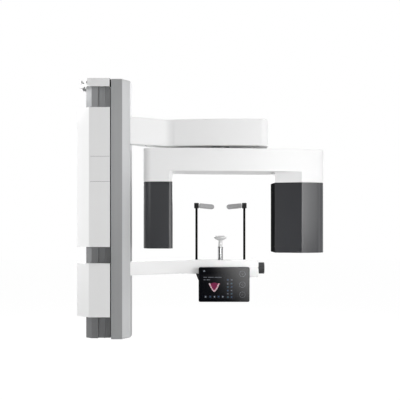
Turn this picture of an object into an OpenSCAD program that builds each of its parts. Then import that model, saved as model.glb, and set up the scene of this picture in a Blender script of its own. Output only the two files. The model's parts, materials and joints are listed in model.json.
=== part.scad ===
// Wall-mounted cone-beam CT scanner for dental work.
// X points out of the wall, Y away from the operator and Z up.
// The origin is the centre of the wall bolt pattern, on the wall plane.

/* [Column] */
// Height of the fixed rail and of the lift column
column_h = 1210; // [1180:2:1300]
// Width of the column across its flat sides
column_w = 150; // [144:1:170]
// Width of the narrow faces at the wall and at the arms
face_w = 60; // [56:1:66]
// Depth of the fixed covers from the wall
cover_d = 165; // [160:1:180]
// Length of the flat side of a cover
cover_side = 98; // [90:1:104]
// Running gap between the covers and the lift column
run_gap = 4.5; // [3:0.5:8]
// Length of the flat side of the lift column
lift_side = 51; // [50:1:60]
// Run of the slanted front edges of the lift column
lift_chamfer = 31.5; // [30:0.5:38]
// Wall of the lift column extrusion
lift_wall = 5; // [4:0.5:6]
// Depth of the hollow chambers in the lift column's sides
lift_chamber = 9; // [7:0.5:11]
// Thickness of the lift column's end caps
end_cap_t = 5; // [3:0.5:8]

/* [Fixed rail] */
// Distance of the rail's back from the wall
rail_stand = 44; // [40:1:50]
// Width of the rail's rear flange
rail_flange_w = 100; // [92:1:108]
// Depth of the rail's rear flange
rail_flange_d = 60; // [54:1:64]
// Width of the rail's recessed neck
rail_neck_w = 76; // [70:1:80]
// Wall of the rail extrusion
rail_wall = 6; // [4:0.5:8]
// Width of the nose that guides the lift column
nose_w = 52; // [48:1:56]
// Depth of the nose
nose_d = 48; // [44:1:50]
// Width of a linear guide rail
guide_w = 15; // [12:1:18]
// Height of a linear guide rail
guide_h = 12; // [10:1:14]
// Length of a guide block
block_l = 90; // [60:1:110]

/* [Wall brackets] */
// Sideways pitch of the wall bolts
bolt_pitch_y = 30; // [26:1:32]
// Distance from an end of the column to the middle of a wall bracket
bracket_inset = 255; // [240:1:270]
// Diameter of a wall bolt hole
bolt_hole_d = 11; // [8:0.5:12]
// Height of a wall bracket
bracket_h = 180; // [120:2:200]
// Width of a wall bracket
bracket_w = 48; // [46:1:50]
// Plate thickness of a wall bracket
bracket_t = 6; // [4:0.5:8]

/* [Covers] */
// Wall of the fixed covers
cover_t = 3; // [2:0.5:4]
// Distance from the top of the column to the upper cover
cover_drop = 131; // [110:1:150]
// Open stretch of rail between the two covers
cover_gap = 77; // [40:1:90]
// Height of the lower cover
lower_cover_h = 250; // [220:2:270]
// Distance from the bottom of the column to the lower cover
cover_foot = 102; // [80:1:120]
// Distance from the top of the upper cover to the service panel
service_drop = 228; // [180:2:260]
// Height of the service panel
service_h = 118; // [90:1:140]
// Height of the cap on top of the rail
top_cap_h = 38; // [28:1:50]

/* [Lift] */
// Upward travel of the lift column
lift_up = 270; // [200:5:280]
// Downward travel of the lift column
lift_down = 330; // [250:5:340]
// Diameter of the lift actuator's rod
rod_d = 20; // [16:1:24]
// Diameter of the lift actuator's tube
actuator_d = 32; // [30:1:34]

/* [Upper arm] */
// Distance from the top of the column to the upper arm
arm_drop = 168; // [150:1:190]
// Height of the upper arm
upper_arm_h = 128; // [124:1:140]
// Wall of the arm covers
arm_wall = 3; // [2:0.5:4]
// Distance from the lift column to the rotation axis
axis_reach = 425; // [408:1:448]
// Sideways distance from the column's middle to the rotation axis
axis_side = 145; // [138:1:155]
// Width of the arm's head at its crown
arm_head_w = 240; // [232:1:250]
// Length of the arm's head from the axis towards the column
arm_head_back = 240; // [230:1:250]
// Length of the arm's head from the axis outwards
arm_head_front = 233; // [225:1:245]
// Sideways travel of the rotation axis, each way
shift_travel = 35; // [20:1:38]

/* [Gantry] */
// Turn of the gantry at rest
gantry_turn = 5; // [0:0.5:8]
// Gap between the upper arm and the gantry
gantry_gap = 12; // [8:0.5:16]
// Height of the gantry beam
beam_h = 110; // [100:1:120]
// Width of the gantry beam at its crown
beam_w = 230; // [224:1:240]
// Length of the gantry from the axis to the tube end
tube_end = 380; // [372:1:386]
// Length of the gantry from the axis to the sensor end
sensor_end = 513; // [505:1:525]
// Height of the legs between the beam and the heads
leg_h = 52; // [40:1:60]
// Height of the tube head
tube_h = 323; // [310:1:335]
// Length of the tube head along the gantry
tube_l = 142; // [136:1:148]
// Height of the sensor head
sensor_h = 347; // [330:1:360]
// Distance from the axis to the sensor head's inner face
sensor_in = 265; // [258:1:272]
// Width of the sensor head's inner face
sensor_face_w = 118; // [112:1:124]
// Wall of the gantry's covers
head_wall = 3; // [2:0.5:4]
// Diameter of the gantry hub
hub_d = 90; // [80:1:96]
// Diameter of the drive pulley
drive_pulley_d = 35; // [30:0.5:36]

/* [Lower arm] */
// Clearance between the sensor head and the lower arm
arm_clear = 35; // [28:1:44]
// Height of the lower arm
low_h = 66; // [62:1:76]
// Width of the lower arm
low_w = 70; // [68:1:78]
// Distance from the rotation axis to the lower arm's near face
low_near = 65; // [64:1:67]
// Run of the slanted stretch of the lower arm
bend_run = 215; // [203:1:223]
// Length of the lower arm past the rotation axis
low_reach = 184; // [182:1:200]

/* [Patient support] */
// Distance between the temple rods
temple_gap = 238; // [230:1:240]
// Travel of each temple rod, each way
temple_travel = 25; // [15:1:26]
// Diameter of a temple rod
temple_rod_d = 10; // [8:0.5:12]
// Height of the temple rods above the lower arm
temple_rod_h = 255; // [210:1:265]
// Distance of the temple screw in front of the rotation axis
temple_front = 15; // [13:0.5:16]
// Diameter of the temple screw
screw_d = 10; // [8:0.5:12]
// Diameter of the temple knob
knob_d = 56; // [50:1:60]
// Length of the temple knob
knob_l = 27; // [22:1:32]
// Length of a temple pad
pad_l = 74; // [60:1:78]
// Height of a temple pad
pad_h = 21; // [16:1:24]
// Distance of the chin post in front of the rotation axis
chin_front = 43; // [42:0.5:44]
// Diameter of the chin post
chin_post_d = 25; // [22:0.5:26]
// Height of the chin post above the lower arm
chin_rise = 65; // [52:1:74]
// Width of the chin cup
chin_cup_w = 67; // [58:1:76]

/* [Touch panel] */
// Width of the panel
panel_w = 245; // [225:1:255]
// Height of the panel
panel_h = 167; // [150:1:180]
// Thickness of the panel
panel_t = 22; // [18:0.5:25]
// Distance of the panel's face in front of the rotation axis
panel_front = 125; // [122:1:132]
// Sideways offset of the panel from the rotation axis
panel_offset = 18; // [8:1:24]
// Overlap of the panel with the lower arm's height
panel_over = 36; // [20:1:40]
// Diameter of the panel's hinge pin
panel_pin_d = 8; // [6:0.5:10]

/* [Hidden] */
$fn = 96;

// Colours as the photo shows them
white = [0.90, 0.90, 0.90];
alloy = [0.60, 0.61, 0.62];
steel = [0.70, 0.71, 0.72];
charcoal = [0.24, 0.24, 0.26];
black = [0.10, 0.10, 0.11];
pad_grey = [0.62, 0.62, 0.63];

// Clearances: between sliding pieces, in a bearing, and round a fitted cover
fit = 0.3;
bearing_fit = 0.05;
cover_fit = 0.5;
// Overlap that carries a cut past the face it opens
cut = 1;
// Facets of the long shallow arcs
arc_fn = 2880;

// Column
col_z1 = column_h / 2;
col_z0 = -column_h / 2;
bolt_z = col_z1 - bracket_inset;
side_y = column_w / 2;
face_y = face_w / 2;
wall_gap = 1;
cover_corner_x = cover_d - cover_side;
lift_x0 = cover_d + run_gap;
lift_corner_x = lift_x0 + lift_side;
lift_x1 = lift_corner_x + lift_chamfer;
cavity_y = side_y - 2 * lift_wall - lift_chamber;

// Fixed rail
rail_x0 = rail_stand;
flange_x1 = rail_x0 + rail_flange_d;
rail_gap = 5;
rail_x1 = cover_d - rail_gap;
nose_x1 = rail_x1 + nose_d;
flange_y = rail_flange_w / 2;
neck_y = rail_neck_w / 2;
nose_y = nose_w / 2;
flange_chamfer = rail_flange_d / 2;
rib_back = 23;
rib_w = 6.5;
rib_rise = 4;
rib_x1 = rail_x1 - rib_back;
rib_x0 = rib_x1 - rib_w;
rib_y = neck_y + rib_rise;
guide_x = (lift_x0 + nose_x1) / 2;
guide_y = nose_y + guide_h;
block_side_gap = 2;
block_w = nose_x1 - lift_x0 - 2 * block_side_gap;
guide_end = 10;

// Lift travel and actuator
actuator_x = (nose_x1 + lift_x1 - lift_wall) / 2;
actuator_r = actuator_d / 2;
gear_lip = 1;
gear_r = actuator_r + gear_lip;
gear_h = 50;
spindle_floor = 15;
spindle_spare = 15;
actuator_lift = 45;
actuator_z0 = col_z0 + actuator_lift;
actuator_l = lift_up + lift_down + 4 * spindle_spare;
actuator_z1 = actuator_z0 + actuator_l;
rod_z0 = actuator_z0 + spindle_floor + lift_down + spindle_spare;
block_zs = [col_z0 + guide_end + lift_down + block_l, col_z1 - guide_end - lift_up - block_l];
cap_notch_gap = 3;

// Covers on the fixed rail
upper_z1 = col_z1 - cover_drop;
lower_z0 = col_z0 + cover_foot;
lower_z1 = lower_z0 + lower_cover_h;
upper_z0 = lower_z1 + cover_gap;
cover_lip = 18;
service_edge = 6;
service_flange = 4;
service_seam = 0.9;
service_x0 = cover_corner_x + service_edge;
service_x1 = cover_d - 2 * cover_t - service_flange;
service_z1 = upper_z1 - service_drop;
service_z0 = service_z1 - service_h;
// Electronics share the height between the upper cover's floor and the upper wall bracket
bay_h = bolt_z - bracket_h / 2 - upper_z0;
board_side = 8;
board_h = 0.275 * bay_h;
board_z0 = upper_z0 + bay_h / 12;
board_z1 = board_z0 + board_h;
supply_h = 0.37 * bay_h;
supply_gap = bay_h / 9;
top_cap_x0 = 15;
top_cap_set = 2;
top_cap_x1 = cover_d - top_cap_set;
top_cap_roof = 4;
top_cap_in = 9;
top_cap_corner_x = cover_corner_x - top_cap_in;
top_cap_back = 8;
hook_w = 8;
hook_drop = 24;

// Upper arm and its carriage
axis_x = lift_x1 + axis_reach;
axis_y = axis_side;
arm_z1 = col_z1 - arm_drop;
arm_z0 = arm_z1 - upper_arm_h;
base_t = 4;
head_arc_r = 1900;
head_crown = 68;
head_tail_r = 25;
head_tip_r = 40;
head_lens = [-arm_head_back, arm_head_front, arm_head_w / 2, head_crown, head_arc_r, head_tail_r, head_tip_r];
neck_near = 80;
neck_far = 50;
neck_into = 60;
knee = [80, 75];
neck_fillet_r = 50;
fillet_bite = 0.05;
frame_gap = 5;
frame_inset = arm_wall + frame_gap;
frame_rib = 8;
plate_t = 12;
plate_edge = 4;
plate_side = 2;
pulley_gap = 6;
pulley_h = 18;
pulley_z0 = arm_z0 + base_t + pulley_gap;
pulley_z1 = pulley_z0 + pulley_h;
ring_gap = 4;
ring_h = 28;
ring_w = 22;
ring_z0 = pulley_z1 + ring_gap;
ring_z1 = ring_z0 + ring_h;
ring_r = hub_d / 2 + ring_w;
ring_cover = 10;
shift_seat = 10;
carriage_z1 = ring_z1 + ring_cover;
shift_z0 = carriage_z1 + shift_seat;
shift_z1 = shift_z0 + guide_h;
shift_dx = 75;
shift_block_l = 40;
shift_block_dy = 40;
shift_block_w = 34;
shift_block_set = 2;
hub_room = 2;
shift_rail_end = 5;
shift_rail_l = 2 * (shift_block_dy + shift_travel + shift_rail_end) + shift_block_l;
motor_dx = 135;
motor_r = 28;
motor_gap = 4;
motor_z1 = arm_z1 - arm_wall - motor_gap;
motor_grip = 20;
motor_room = 6;
motor_cut = motor_r + motor_room;
shaft_r = 6;
shaft_room = 4;
pulley_ratio = 4;
pulley_r = drive_pulley_d / 2;
driven_r = pulley_ratio * pulley_r;
belt_t = 3;
belt_edge = 2;

// Gantry, in its own axes u along the beam and v across it
beam_z1 = arm_z0 - gantry_gap;
beam_z0 = beam_z1 - beam_h;
head_z1 = beam_z0 - leg_h;
tube_z0 = head_z1 - tube_h;
sensor_z0 = head_z1 - sensor_h;
gantry_arc_r = 3000;
gantry_crown = 48;
gantry_end_r = 47;
gantry_lens = [-tube_end, sensor_end, beam_w / 2, gantry_crown, gantry_arc_r, gantry_end_r, gantry_end_r];
tube_in = tube_l - tube_end;
tube_corner_r = 30;
tube_corner_u = tube_in - tube_corner_r;
tube_corner_bite = 4;
// Corner centre that lets the corner meet the beam's side at a clear angle
tube_corner_v = beam_w / 2 - gantry_arc_r + sqrt(pow(gantry_arc_r, 2) - pow(tube_corner_u - gantry_crown, 2))
    - tube_corner_r + tube_corner_bite;
sensor_flare = 0.281;
base_reach = 108;
frame_drop = 23;
frame_edge = 6;
frame_z1 = beam_z1 - frame_drop;
frame_t = 12;
frame_z0 = frame_z1 - frame_t;
hub_flange_h = 10;
hub_flange_w = 20;
hub_flange_r = hub_d / 2 + hub_flange_w;
hub_bore_r = 20;
hanger_t = 10;
hanger_y = 50;
beam_mid_drop = 175;
beam_mid_z = head_z1 - beam_mid_drop;
tube_unit_gap = 25;
tube_unit_u0 = -tube_end + tube_unit_gap;
tube_unit_l = 72;
tube_unit_y = 62;
tube_unit_h = 240;
collimator_gap = 12;
collimator_l = tube_l - tube_unit_gap - tube_unit_l - collimator_gap;
collimator_y = 32;
collimator_h = 70;
tube_window_y = 36;
tube_window_h = 90;
window_flange = 4;
window_t = 2;
detector_gap = 10;
detector_t = 20;
detector_side = 7;
detector_drop = 45;
detector_foot = 30;
detector_y = sensor_face_w / 2 - detector_side;
detector_z1 = head_z1 - detector_drop;
detector_z0 = sensor_z0 + detector_foot;
sensor_window_side = 12;
sensor_window_y = sensor_face_w / 2 - sensor_window_side;

// Lower arm
low_z1 = sensor_z0 - arm_clear;
low_z0 = low_z1 - low_h;
low_y0 = axis_y - low_near;
low_y1 = low_y0 + low_w;
low_x1 = axis_x + low_reach;
low_base_t = 3;
low_floor_t = 8;
low_slope = (low_y0 + face_y) / bend_run;
floor_z1 = low_z0 + low_base_t + low_floor_t;
end_l = 60;
end_t = 4;
end_rise = 36;
end_drop = 18;

// Temple and chin support
screw_y = axis_y - temple_front;
screw_rise = 24;
screw_tail = 2;
screw_z = low_z0 + screw_rise;
screw_r = screw_d / 2;
nut_r = 11;
nut_l = 28;
lug_t = 8;
lug_dx = temple_gap / 2 + temple_travel + nut_l / 2 + lug_t;
collar_w = 3;
collar_r = screw_r + collar_w;
collar_t = 4;
knob_gap = 7;
knob_grips = 20;
grip_r = 3;
grip_out = 1;
grip_start = 4;
knob_face = 6;
temple_rod_z1 = low_z1 + temple_rod_h;
temple_head_w = 23;
temple_head_h = 27;
temple_head_corner = 5;
pad_t = 8;
pad_turn = 15;
pad_droop = 5;
pad_seat = pad_t / 2 * sin(pad_turn) + pad_h / 2 * sin(pad_droop) + fit;
chin_y = axis_y - chin_front;
chin_post_z1 = low_z1 + chin_rise;
chin_foot = 22;
chin_post_z0 = floor_z1 + chin_foot;
chin_socket_wall = 2.5;
chin_fit = 0.1;
chin_neck_r = 10;
chin_neck_h = 31;
chin_cup_h = 28;
chin_crown_h = 13;
chin_under_sink = 1;
chin_bowl_r = 34;
chin_bowl_h = 12;

// Touch panel and its bracket
panel_x = axis_x + panel_offset;
panel_y0 = axis_y - panel_front;
panel_y1 = panel_y0 + panel_t;
panel_z1 = low_z0 + panel_over;
panel_z0 = panel_z1 - panel_h;
panel_corner = 8;
glass_t = 2;
glass_border = 2;
pin_r = panel_pin_d / 2;
pin_back = 16;
pin_drop = 30;
pin_lug_w = 4;
pin_y = panel_y1 + pin_back;
pin_z = low_z0 - pin_drop;
pin_lug_r = pin_r + pin_lug_w;
lug_w = 12;
bracket_lug_dx = 30;
panel_lug_dx = bracket_lug_dx + lug_w + fit;
bracket_side = 16;
bracket_end_gap = 4;
bracket_left = panel_w / 2 + bracket_side;
bracket_right = low_x1 - end_l - panel_x - bracket_end_gap;
bracket_drop = 32;
bracket_slant = 12;
bracket_set = 4;
bracket_d = 40;
bracket_y0 = low_y0 + bracket_set;
bracket_y1 = low_y0 + bracket_d;

// A plate of a plan outline between two heights
module slab(z0, z1) {
    translate([0, 0, z0]) linear_extrude(z1 - z0) children();
}

// A box between two corners
module span(a, b) {
    translate(a) cube(b - a);
}

// A rod along X between two places
module rod_x(x0, x1, y, z, r) {
    translate([x0, y, z]) rotate([0, 90, 0]) cylinder(h = x1 - x0, r = r);
}

// A half outline and its mirror image across the column's middle plane
function both_sides(half) = concat(
    [for (p = half) [p[0], -p[1]]],
    [for (i = [len(half) - 1 : -1 : 0]) half[i]]);

// Half outline of a wall shroud: open at the wall, slanted, then flat sided
function shroud_half(x0, corner_x, x1, back_y, t, past) =
    let (rise = (side_y - back_y) / (corner_x - x0), stretch = sqrt(1 + rise * rise))
    [[x0 - past, back_y - t * stretch - past * rise],
     [x0 + (side_y - t - back_y + t * stretch) / rise, side_y - t],
     [x1, side_y - t]];

// Half outline of the fixed rail with its flange, neck, rib and nose
function rail_half() = [
    [rail_x0, face_y], [rail_x0 + flange_chamfer, flange_y], [flange_x1, flange_y],
    [flange_x1, neck_y], [rib_x0, neck_y], [rib_x0, rib_y], [rib_x1, rib_y], [rib_x1, neck_y],
    [rail_x1, neck_y], [rail_x1, nose_y], [nose_x1, nose_y]];

// X of the lift column's slanted face, set in by t, at a distance y from the middle
lift_slant = sqrt(lift_chamfer * lift_chamfer + pow(side_y - face_y, 2)) / (side_y - face_y);
function lift_face_x(y, t) =
    lift_corner_x + (side_y - y) * lift_chamfer / (side_y - face_y) - t * lift_slant;
function lift_face_y(x, t) =
    side_y - (x - lift_corner_x + t * lift_slant) * (side_y - face_y) / lift_chamfer;

function lift_half() = [[lift_x0, side_y], [lift_corner_x, side_y], [lift_x1, face_y]];

// Distance from the beam's middle line to the centre of a corner that runs into its arc
function corner_v(arc, half_w, r, du) = sqrt(pow(arc - r, 2) - du * du) - (arc - half_w);

// Boat-shaped plan between two long arcs with round corners, set in by t.
// shape holds left end, right end, half width, crown, arc radius, left and right corner radius.
module lens_plan(shape, t = 0) {
    left = shape[0] + t;
    right = shape[1] - t;
    half_w = shape[2] - t;
    crown = shape[3];
    arc = shape[4] - t;
    r_left = shape[5] - t;
    r_right = shape[6] - t;
    u_left = left + r_left;
    u_right = right - r_right;
    v_left = corner_v(arc, half_w, r_left, u_left - crown);
    v_right = corner_v(arc, half_w, r_right, u_right - crown);
    meet_left = u_left + r_left * (u_left - crown) / (arc - r_left);
    meet_right = u_right + r_right * (u_right - crown) / (arc - r_right);
    intersection() {
        translate([crown, arc - half_w]) circle(arc, $fn = arc_fn);
        translate([crown, half_w - arc]) circle(arc, $fn = arc_fn);
        union() {
            translate([meet_left, -half_w]) square([meet_right - meet_left, 2 * half_w]);
            translate([left, -v_left]) square([meet_left - left + cut, 2 * v_left]);
            translate([meet_right - cut, -v_right]) square([right - meet_right + cut, 2 * v_right]);
            for (v = [-v_left, v_left]) translate([u_left, v]) circle(r_left);
            for (v = [-v_right, v_right]) translate([u_right, v]) circle(r_right);
        }
    }
}

// Reach of the tube head towards the patient: a face with two round corners, set in by t
module tube_reach(t = 0) {
    back = -tube_end - beam_w;
    r = tube_corner_r - t;
    half_w = tube_corner_v + r;
    translate([back, -half_w]) square([tube_corner_u - back, 2 * half_w]);
    translate([back, -tube_corner_v]) square([tube_in - t - back, 2 * tube_corner_v]);
    for (v = [-tube_corner_v, tube_corner_v]) translate([tube_corner_u, v]) circle(r);
}

// Reach of the sensor head towards the patient: a wedge, set in by t
module sensor_reach(t = 0) {
    far = sensor_end + beam_w - sensor_in;
    w0 = sensor_face_w / 2 + t * sensor_flare - t * sqrt(1 + sensor_flare * sensor_flare);
    w1 = w0 + (far - t) * sensor_flare;
    translate([sensor_in, 0]) polygon([[t, -w0], [far, -w1], [far, w1], [t, w0]]);
}

module tube_plan(t = 0) {
    intersection() {
        lens_plan(gantry_lens, t);
        tube_reach(t);
    }
}

module sensor_plan(t = 0) {
    intersection() {
        lens_plan(gantry_lens, t);
        sensor_reach(t);
    }
}

// Places a piece that is drawn in the gantry's own axes
module on_gantry() {
    translate([axis_x, axis_y, 0]) rotate([0, 0, gantry_turn]) children();
}

// Slanted neck of the upper arm, set in by t, from the column face into the head
function neck_points(t, root) =
    let (
        reach = axis_x - arm_head_back - lift_x1,
        end_x = lift_x1 + reach + neck_into,
        near = (axis_y - neck_near + face_y) / reach,
        near_k = sqrt(1 + near * near),
        far_a = knee[1] / knee[0],
        far_a_k = sqrt(1 + far_a * far_a),
        far_b = (axis_y + neck_far - face_y - knee[1]) / (reach + neck_into - knee[0]),
        far_b_k = sqrt(1 + far_b * far_b),
        knee_x = knee[0] + t * (far_a_k - far_b_k) / (far_a - far_b)
    )
    [[root, -face_y + t * near_k + near * (root - lift_x1)],
     [end_x, -face_y + t * near_k + near * (end_x - lift_x1)],
     [end_x, axis_y + neck_far - t * far_b_k],
     [lift_x1 + knee_x, face_y - t * far_a_k + far_a * knee_x],
     [root, face_y - t * far_a_k + far_a * (root - lift_x1)]];

module upper_plan(t, root) {
    filleted_neck(t, root);
    translate([axis_x, axis_y]) lens_plan(head_lens, t);
}

// Neck of the upper arm with a hollow fillet into the round corner of its head, set in by t
module filleted_neck(t, root) {
    reach = axis_x - arm_head_back - lift_x1;
    lean = atan2(axis_y - neck_near + face_y, reach);
    along = [cos(lean), sin(lean)];
    out = [sin(lean), -cos(lean)];
    corner_r = head_lens[5];
    corner_u = head_lens[0] + corner_r;
    corner = [axis_x + corner_u,
              axis_y - corner_v(head_arc_r, head_lens[2], corner_r, corner_u - head_crown)];
    start = [lift_x1, -face_y];
    to_start = start + neck_fillet_r * out - corner;
    apart = neck_fillet_r + corner_r;
    ahead = to_start * along;
    run = -ahead - sqrt(ahead * ahead - to_start * to_start + apart * apart);
    meet = start + run * along - t * out;
    centre = start + run * along + neck_fillet_r * out;
    neck = neck_points(t, root);
    difference() {
        polygon([neck[0], meet, centre, corner, neck[2], neck[3], neck[4]]);
        translate(centre) circle(neck_fillet_r + t + fillet_bite, $fn = arc_fn / 8);
    }
}

// Lower arm: a slanted stretch and a straight one, set in by t
function low_points(t, root) =
    let (
        k = sqrt(1 + low_slope * low_slope),
        near_x = lift_x1 + (low_y0 + t + face_y - t * k) / low_slope,
        far_x = lift_x1 + (low_y1 - t - face_y + t * k) / low_slope
    )
    [[root, -face_y + t * k + low_slope * (root - lift_x1)], [near_x, low_y0 + t],
     [low_x1 - t, low_y0 + t], [low_x1 - t, low_y1 - t], [far_x, low_y1 - t],
     [root, face_y - t * k + low_slope * (root - lift_x1)]];

// Outline of a belt or of its inner face round two pulleys on the X axis
module belt_plan(r_big, r_small, pitch) {
    lean = (r_big - r_small) / pitch;
    side = sqrt(1 - lean * lean);
    circle(r_big);
    translate([pitch, 0]) circle(r_small);
    polygon([[r_big * lean, -r_big * side], [pitch + r_small * lean, -r_small * side],
             [pitch + r_small * lean, r_small * side], [r_big * lean, r_big * side]]);
}

module rounded_plan(w, h, r) {
    translate([-w / 2 + r, -h / 2]) square([w - 2 * r, h]);
    translate([-w / 2, -h / 2 + r]) square([w, h - 2 * r]);
    for (x = [r - w / 2, w / 2 - r], y = [r - h / 2, h / 2 - r]) translate([x, y]) circle(r);
}

// One wall bracket: back plate with two bolt holes, web, and front plate against the rail
module wall_bracket(z) {
    half_w = bracket_w / 2;
    z0 = z - bracket_h / 2;
    z1 = z + bracket_h / 2;
    web = bracket_t / 2;
    color(steel) difference() {
        union() {
            span([0, -half_w, z0], [bracket_t, half_w, z1]);
            span([bracket_t - cut, -web, z0], [rail_x0 - bracket_t + cut, web, z1]);
            span([rail_x0 - bracket_t, -half_w, z0], [rail_x0, half_w, z1]);
        }
        for (y = [-bolt_pitch_y / 2, bolt_pitch_y / 2])
            rod_x(-cut, bracket_t + cut, y, z, bolt_hole_d / 2);
    }
}

module wall_bracket_upper() {
    wall_bracket(bolt_z);
}

module wall_bracket_lower() {
    wall_bracket(-bolt_z);
}

module fixed_rail() {
    color(alloy) slab(col_z0, col_z1) difference() {
        polygon(both_sides(rail_half()));
        polygon(both_sides([
            [rail_x0 + rail_wall, face_y - rail_wall / 2],
            [rail_x0 + flange_chamfer + rail_wall / 2, flange_y - rail_wall],
            [flange_x1 - rail_wall, flange_y - rail_wall]]));
        polygon(both_sides([[flange_x1, neck_y - rail_wall], [rail_x1 - rail_wall, neck_y - rail_wall]]));
        polygon(both_sides([[rail_x1, nose_y - rail_wall], [nose_x1 - rail_wall, nose_y - rail_wall]]));
    }
}

module rail_top_cap() {
    corner_x = top_cap_corner_x;
    back_y = face_y + top_cap_back;
    z1 = col_z1 + top_cap_roof;
    z0 = z1 - top_cap_h;
    color(white) difference() {
        slab(z0, z1)
            polygon(both_sides(shroud_half(top_cap_x0, corner_x, top_cap_x1, back_y, 0, 0)));
        slab(z0 - cut, col_z1)
            polygon(both_sides(shroud_half(top_cap_x0 + cover_t, corner_x, top_cap_x1 - cover_t,
                                           back_y, cover_t, 0)));
        span([top_cap_x1 - cover_t - cut, -neck_y - cover_fit, z0 - cut],
             [top_cap_x1 + cut, neck_y + cover_fit, col_z1]);
        span([top_cap_x0 + hook_w, -side_y - cut, z1 - hook_drop], [corner_x, side_y + cut, z1 + cut]);
    }
}

// A cover round the rail, open at the wall, with lipped front edges and end walls
module rail_cover(z0, z1) {
    difference() {
        union() {
            difference() {
                slab(z0, z1) polygon(both_sides(
                    shroud_half(wall_gap, cover_corner_x, cover_d, face_y, 0, 0)));
                slab(z0 - cut, z1 + cut) polygon(both_sides(
                    shroud_half(wall_gap, cover_corner_x, cover_d - cover_t, face_y, cover_t, cut)));
            }
            for (z = [z0, z1 - cover_t]) slab(z, z + cover_t) polygon(both_sides(
                shroud_half(wall_gap, cover_corner_x, cover_d, face_y, 0, 0)));
        }
        slab(z0 - cut, z1 + cut) polygon(both_sides([
            [rail_x0 - cover_fit, face_y + cover_fit],
            [rail_x0 + flange_chamfer - cover_fit, flange_y + cover_fit],
            [flange_x1 + cover_fit, flange_y + cover_fit]]));
        span([rail_x0, -rib_y - cover_fit, z0 - cut], [cover_d + cut, rib_y + cover_fit, z1 + cut]);
        span([cover_d - cover_t - cut, cover_lip - side_y, z0 + cover_t],
             [cover_d + cut, side_y - cover_lip, z1 - cover_t]);
    }
}

module upper_cover() {
    color(white) difference() {
        rail_cover(upper_z0, upper_z1);
        span([service_x0, -side_y - cut, service_z0],
             [service_x1, -side_y + cover_t + cut, service_z1]);
    }
}

module service_panel() {
    inner_y = -side_y + cover_t;
    color(white) union() {
        span([service_x0 + service_seam, -side_y, service_z0 + service_seam],
             [service_x1 - service_seam, inner_y + cut, service_z1 - service_seam]);
        span([service_x0 - service_flange, inner_y, service_z0 - service_flange],
             [service_x1 + service_flange, inner_y + cover_t, service_z1 + service_flange]);
    }
}

module lower_cover() {
    color(white) rail_cover(lower_z0, lower_z1);
}

module power_supply() {
    depth = 36;
    half_w = face_y - board_side;
    z0 = board_z1 + supply_gap;
    z1 = z0 + supply_h;
    ear = 12;
    ear_t = 2;
    color(steel) union() {
        span([rail_x0 - depth, -half_w, z0], [rail_x0, half_w, z1]);
        span([rail_x0 - ear_t, -half_w, z0 - ear], [rail_x0, half_w, z1 + ear]);
    }
}

module control_board() {
    z0 = board_z0;
    z1 = board_z1;
    half_w = face_y - board_side;
    chip_l = board_h / 4;
    chip_edge = board_h / 6;
    stand = 10;
    board_t = 2;
    post = 5;
    chip_x = rail_x0 - stand - board_t / 2;
    color("darkgreen") union() {
        span([rail_x0 - stand - board_t, -half_w, z0], [rail_x0 - stand, half_w, z1]);
        for (y = [-half_w + post, half_w - post], z = [z0 + post, z1 - post])
            rod_x(rail_x0 - stand - board_t / 2, rail_x0, y, z, post / 2);
        span([chip_x - 3 * board_t, -half_w / 2, z0 + chip_edge], [chip_x, 0, z0 + chip_edge + chip_l]);
        span([chip_x - 4 * board_t, 0, z1 - chip_edge - chip_l], [chip_x, half_w / 2, z1 - chip_edge]);
    }
}

module guide_rails() {
    color(steel) for (s = [-1, 1])
        span([guide_x - guide_w / 2, s > 0 ? nose_y : -guide_y, col_z0 + guide_end],
             [guide_x + guide_w / 2, s > 0 ? guide_y : -nose_y, col_z1 - guide_end]);
}

module guide_blocks() {
    inner = nose_y + block_side_gap;
    color(charcoal) for (z = block_zs, m = [0, 1]) mirror([0, m, 0])
        difference() {
            span([guide_x - block_w / 2, inner, z - block_l / 2],
                 [guide_x + block_w / 2, cavity_y, z + block_l / 2]);
            span([guide_x - guide_w / 2 - fit, inner - cut, z - block_l / 2 - cut],
                 [guide_x + guide_w / 2 + fit, guide_y + fit, z + block_l / 2 + cut]);
        }
}

module lift_actuator() {
    foot_y = 12;
    foot_h = 40;
    color(charcoal) difference() {
        union() {
            translate([actuator_x, 0, actuator_z0]) cylinder(h = actuator_l, r = actuator_r);
            translate([actuator_x, 0, actuator_z0]) cylinder(h = gear_h, r = gear_r);
            for (z = [actuator_z0 + gear_h + foot_h, actuator_z1 - 2 * foot_h])
                span([nose_x1, -foot_y, z], [actuator_x, foot_y, z + foot_h]);
        }
        translate([actuator_x, 0, actuator_z0 + spindle_floor])
            cylinder(h = actuator_l, r = rod_d / 2 + fit);
    }
}

module actuator_rod() {
    color(steel) translate([actuator_x, 0, rod_z0])
        cylinder(h = col_z1 - end_cap_t - rod_z0, r = rod_d / 2);
}

module lift_column() {
    front_x = lift_x1 - lift_wall;
    rib = cavity_y + lift_wall;
    outer = side_y - lift_wall;
    color(alloy) slab(col_z0 + end_cap_t, col_z1 - end_cap_t) difference() {
        polygon(both_sides(lift_half()));
        polygon(both_sides([[lift_x0 - cut, cavity_y], [lift_face_x(cavity_y, lift_wall), cavity_y],
                            [front_x, lift_face_y(front_x, lift_wall)]]));
        for (s = [-1, 1])
            polygon([[lift_x0 + lift_wall, s * rib], [lift_face_x(rib, lift_wall), s * rib],
                     [lift_face_x(outer, lift_wall), s * outer], [lift_x0 + lift_wall, s * outer]]);
    }
}

// Notch that lets an end cap pass the nose and its guide rails
module nose_notch() {
    half_w = guide_y + cap_notch_gap;
    translate([lift_x0 - cut, -half_w]) square([nose_x1 + cap_notch_gap - lift_x0 + cut, 2 * half_w]);
}

module column_top_cap() {
    color(alloy) slab(col_z1 - end_cap_t, col_z1) difference() {
        polygon(both_sides(lift_half()));
        nose_notch();
    }
}

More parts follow.
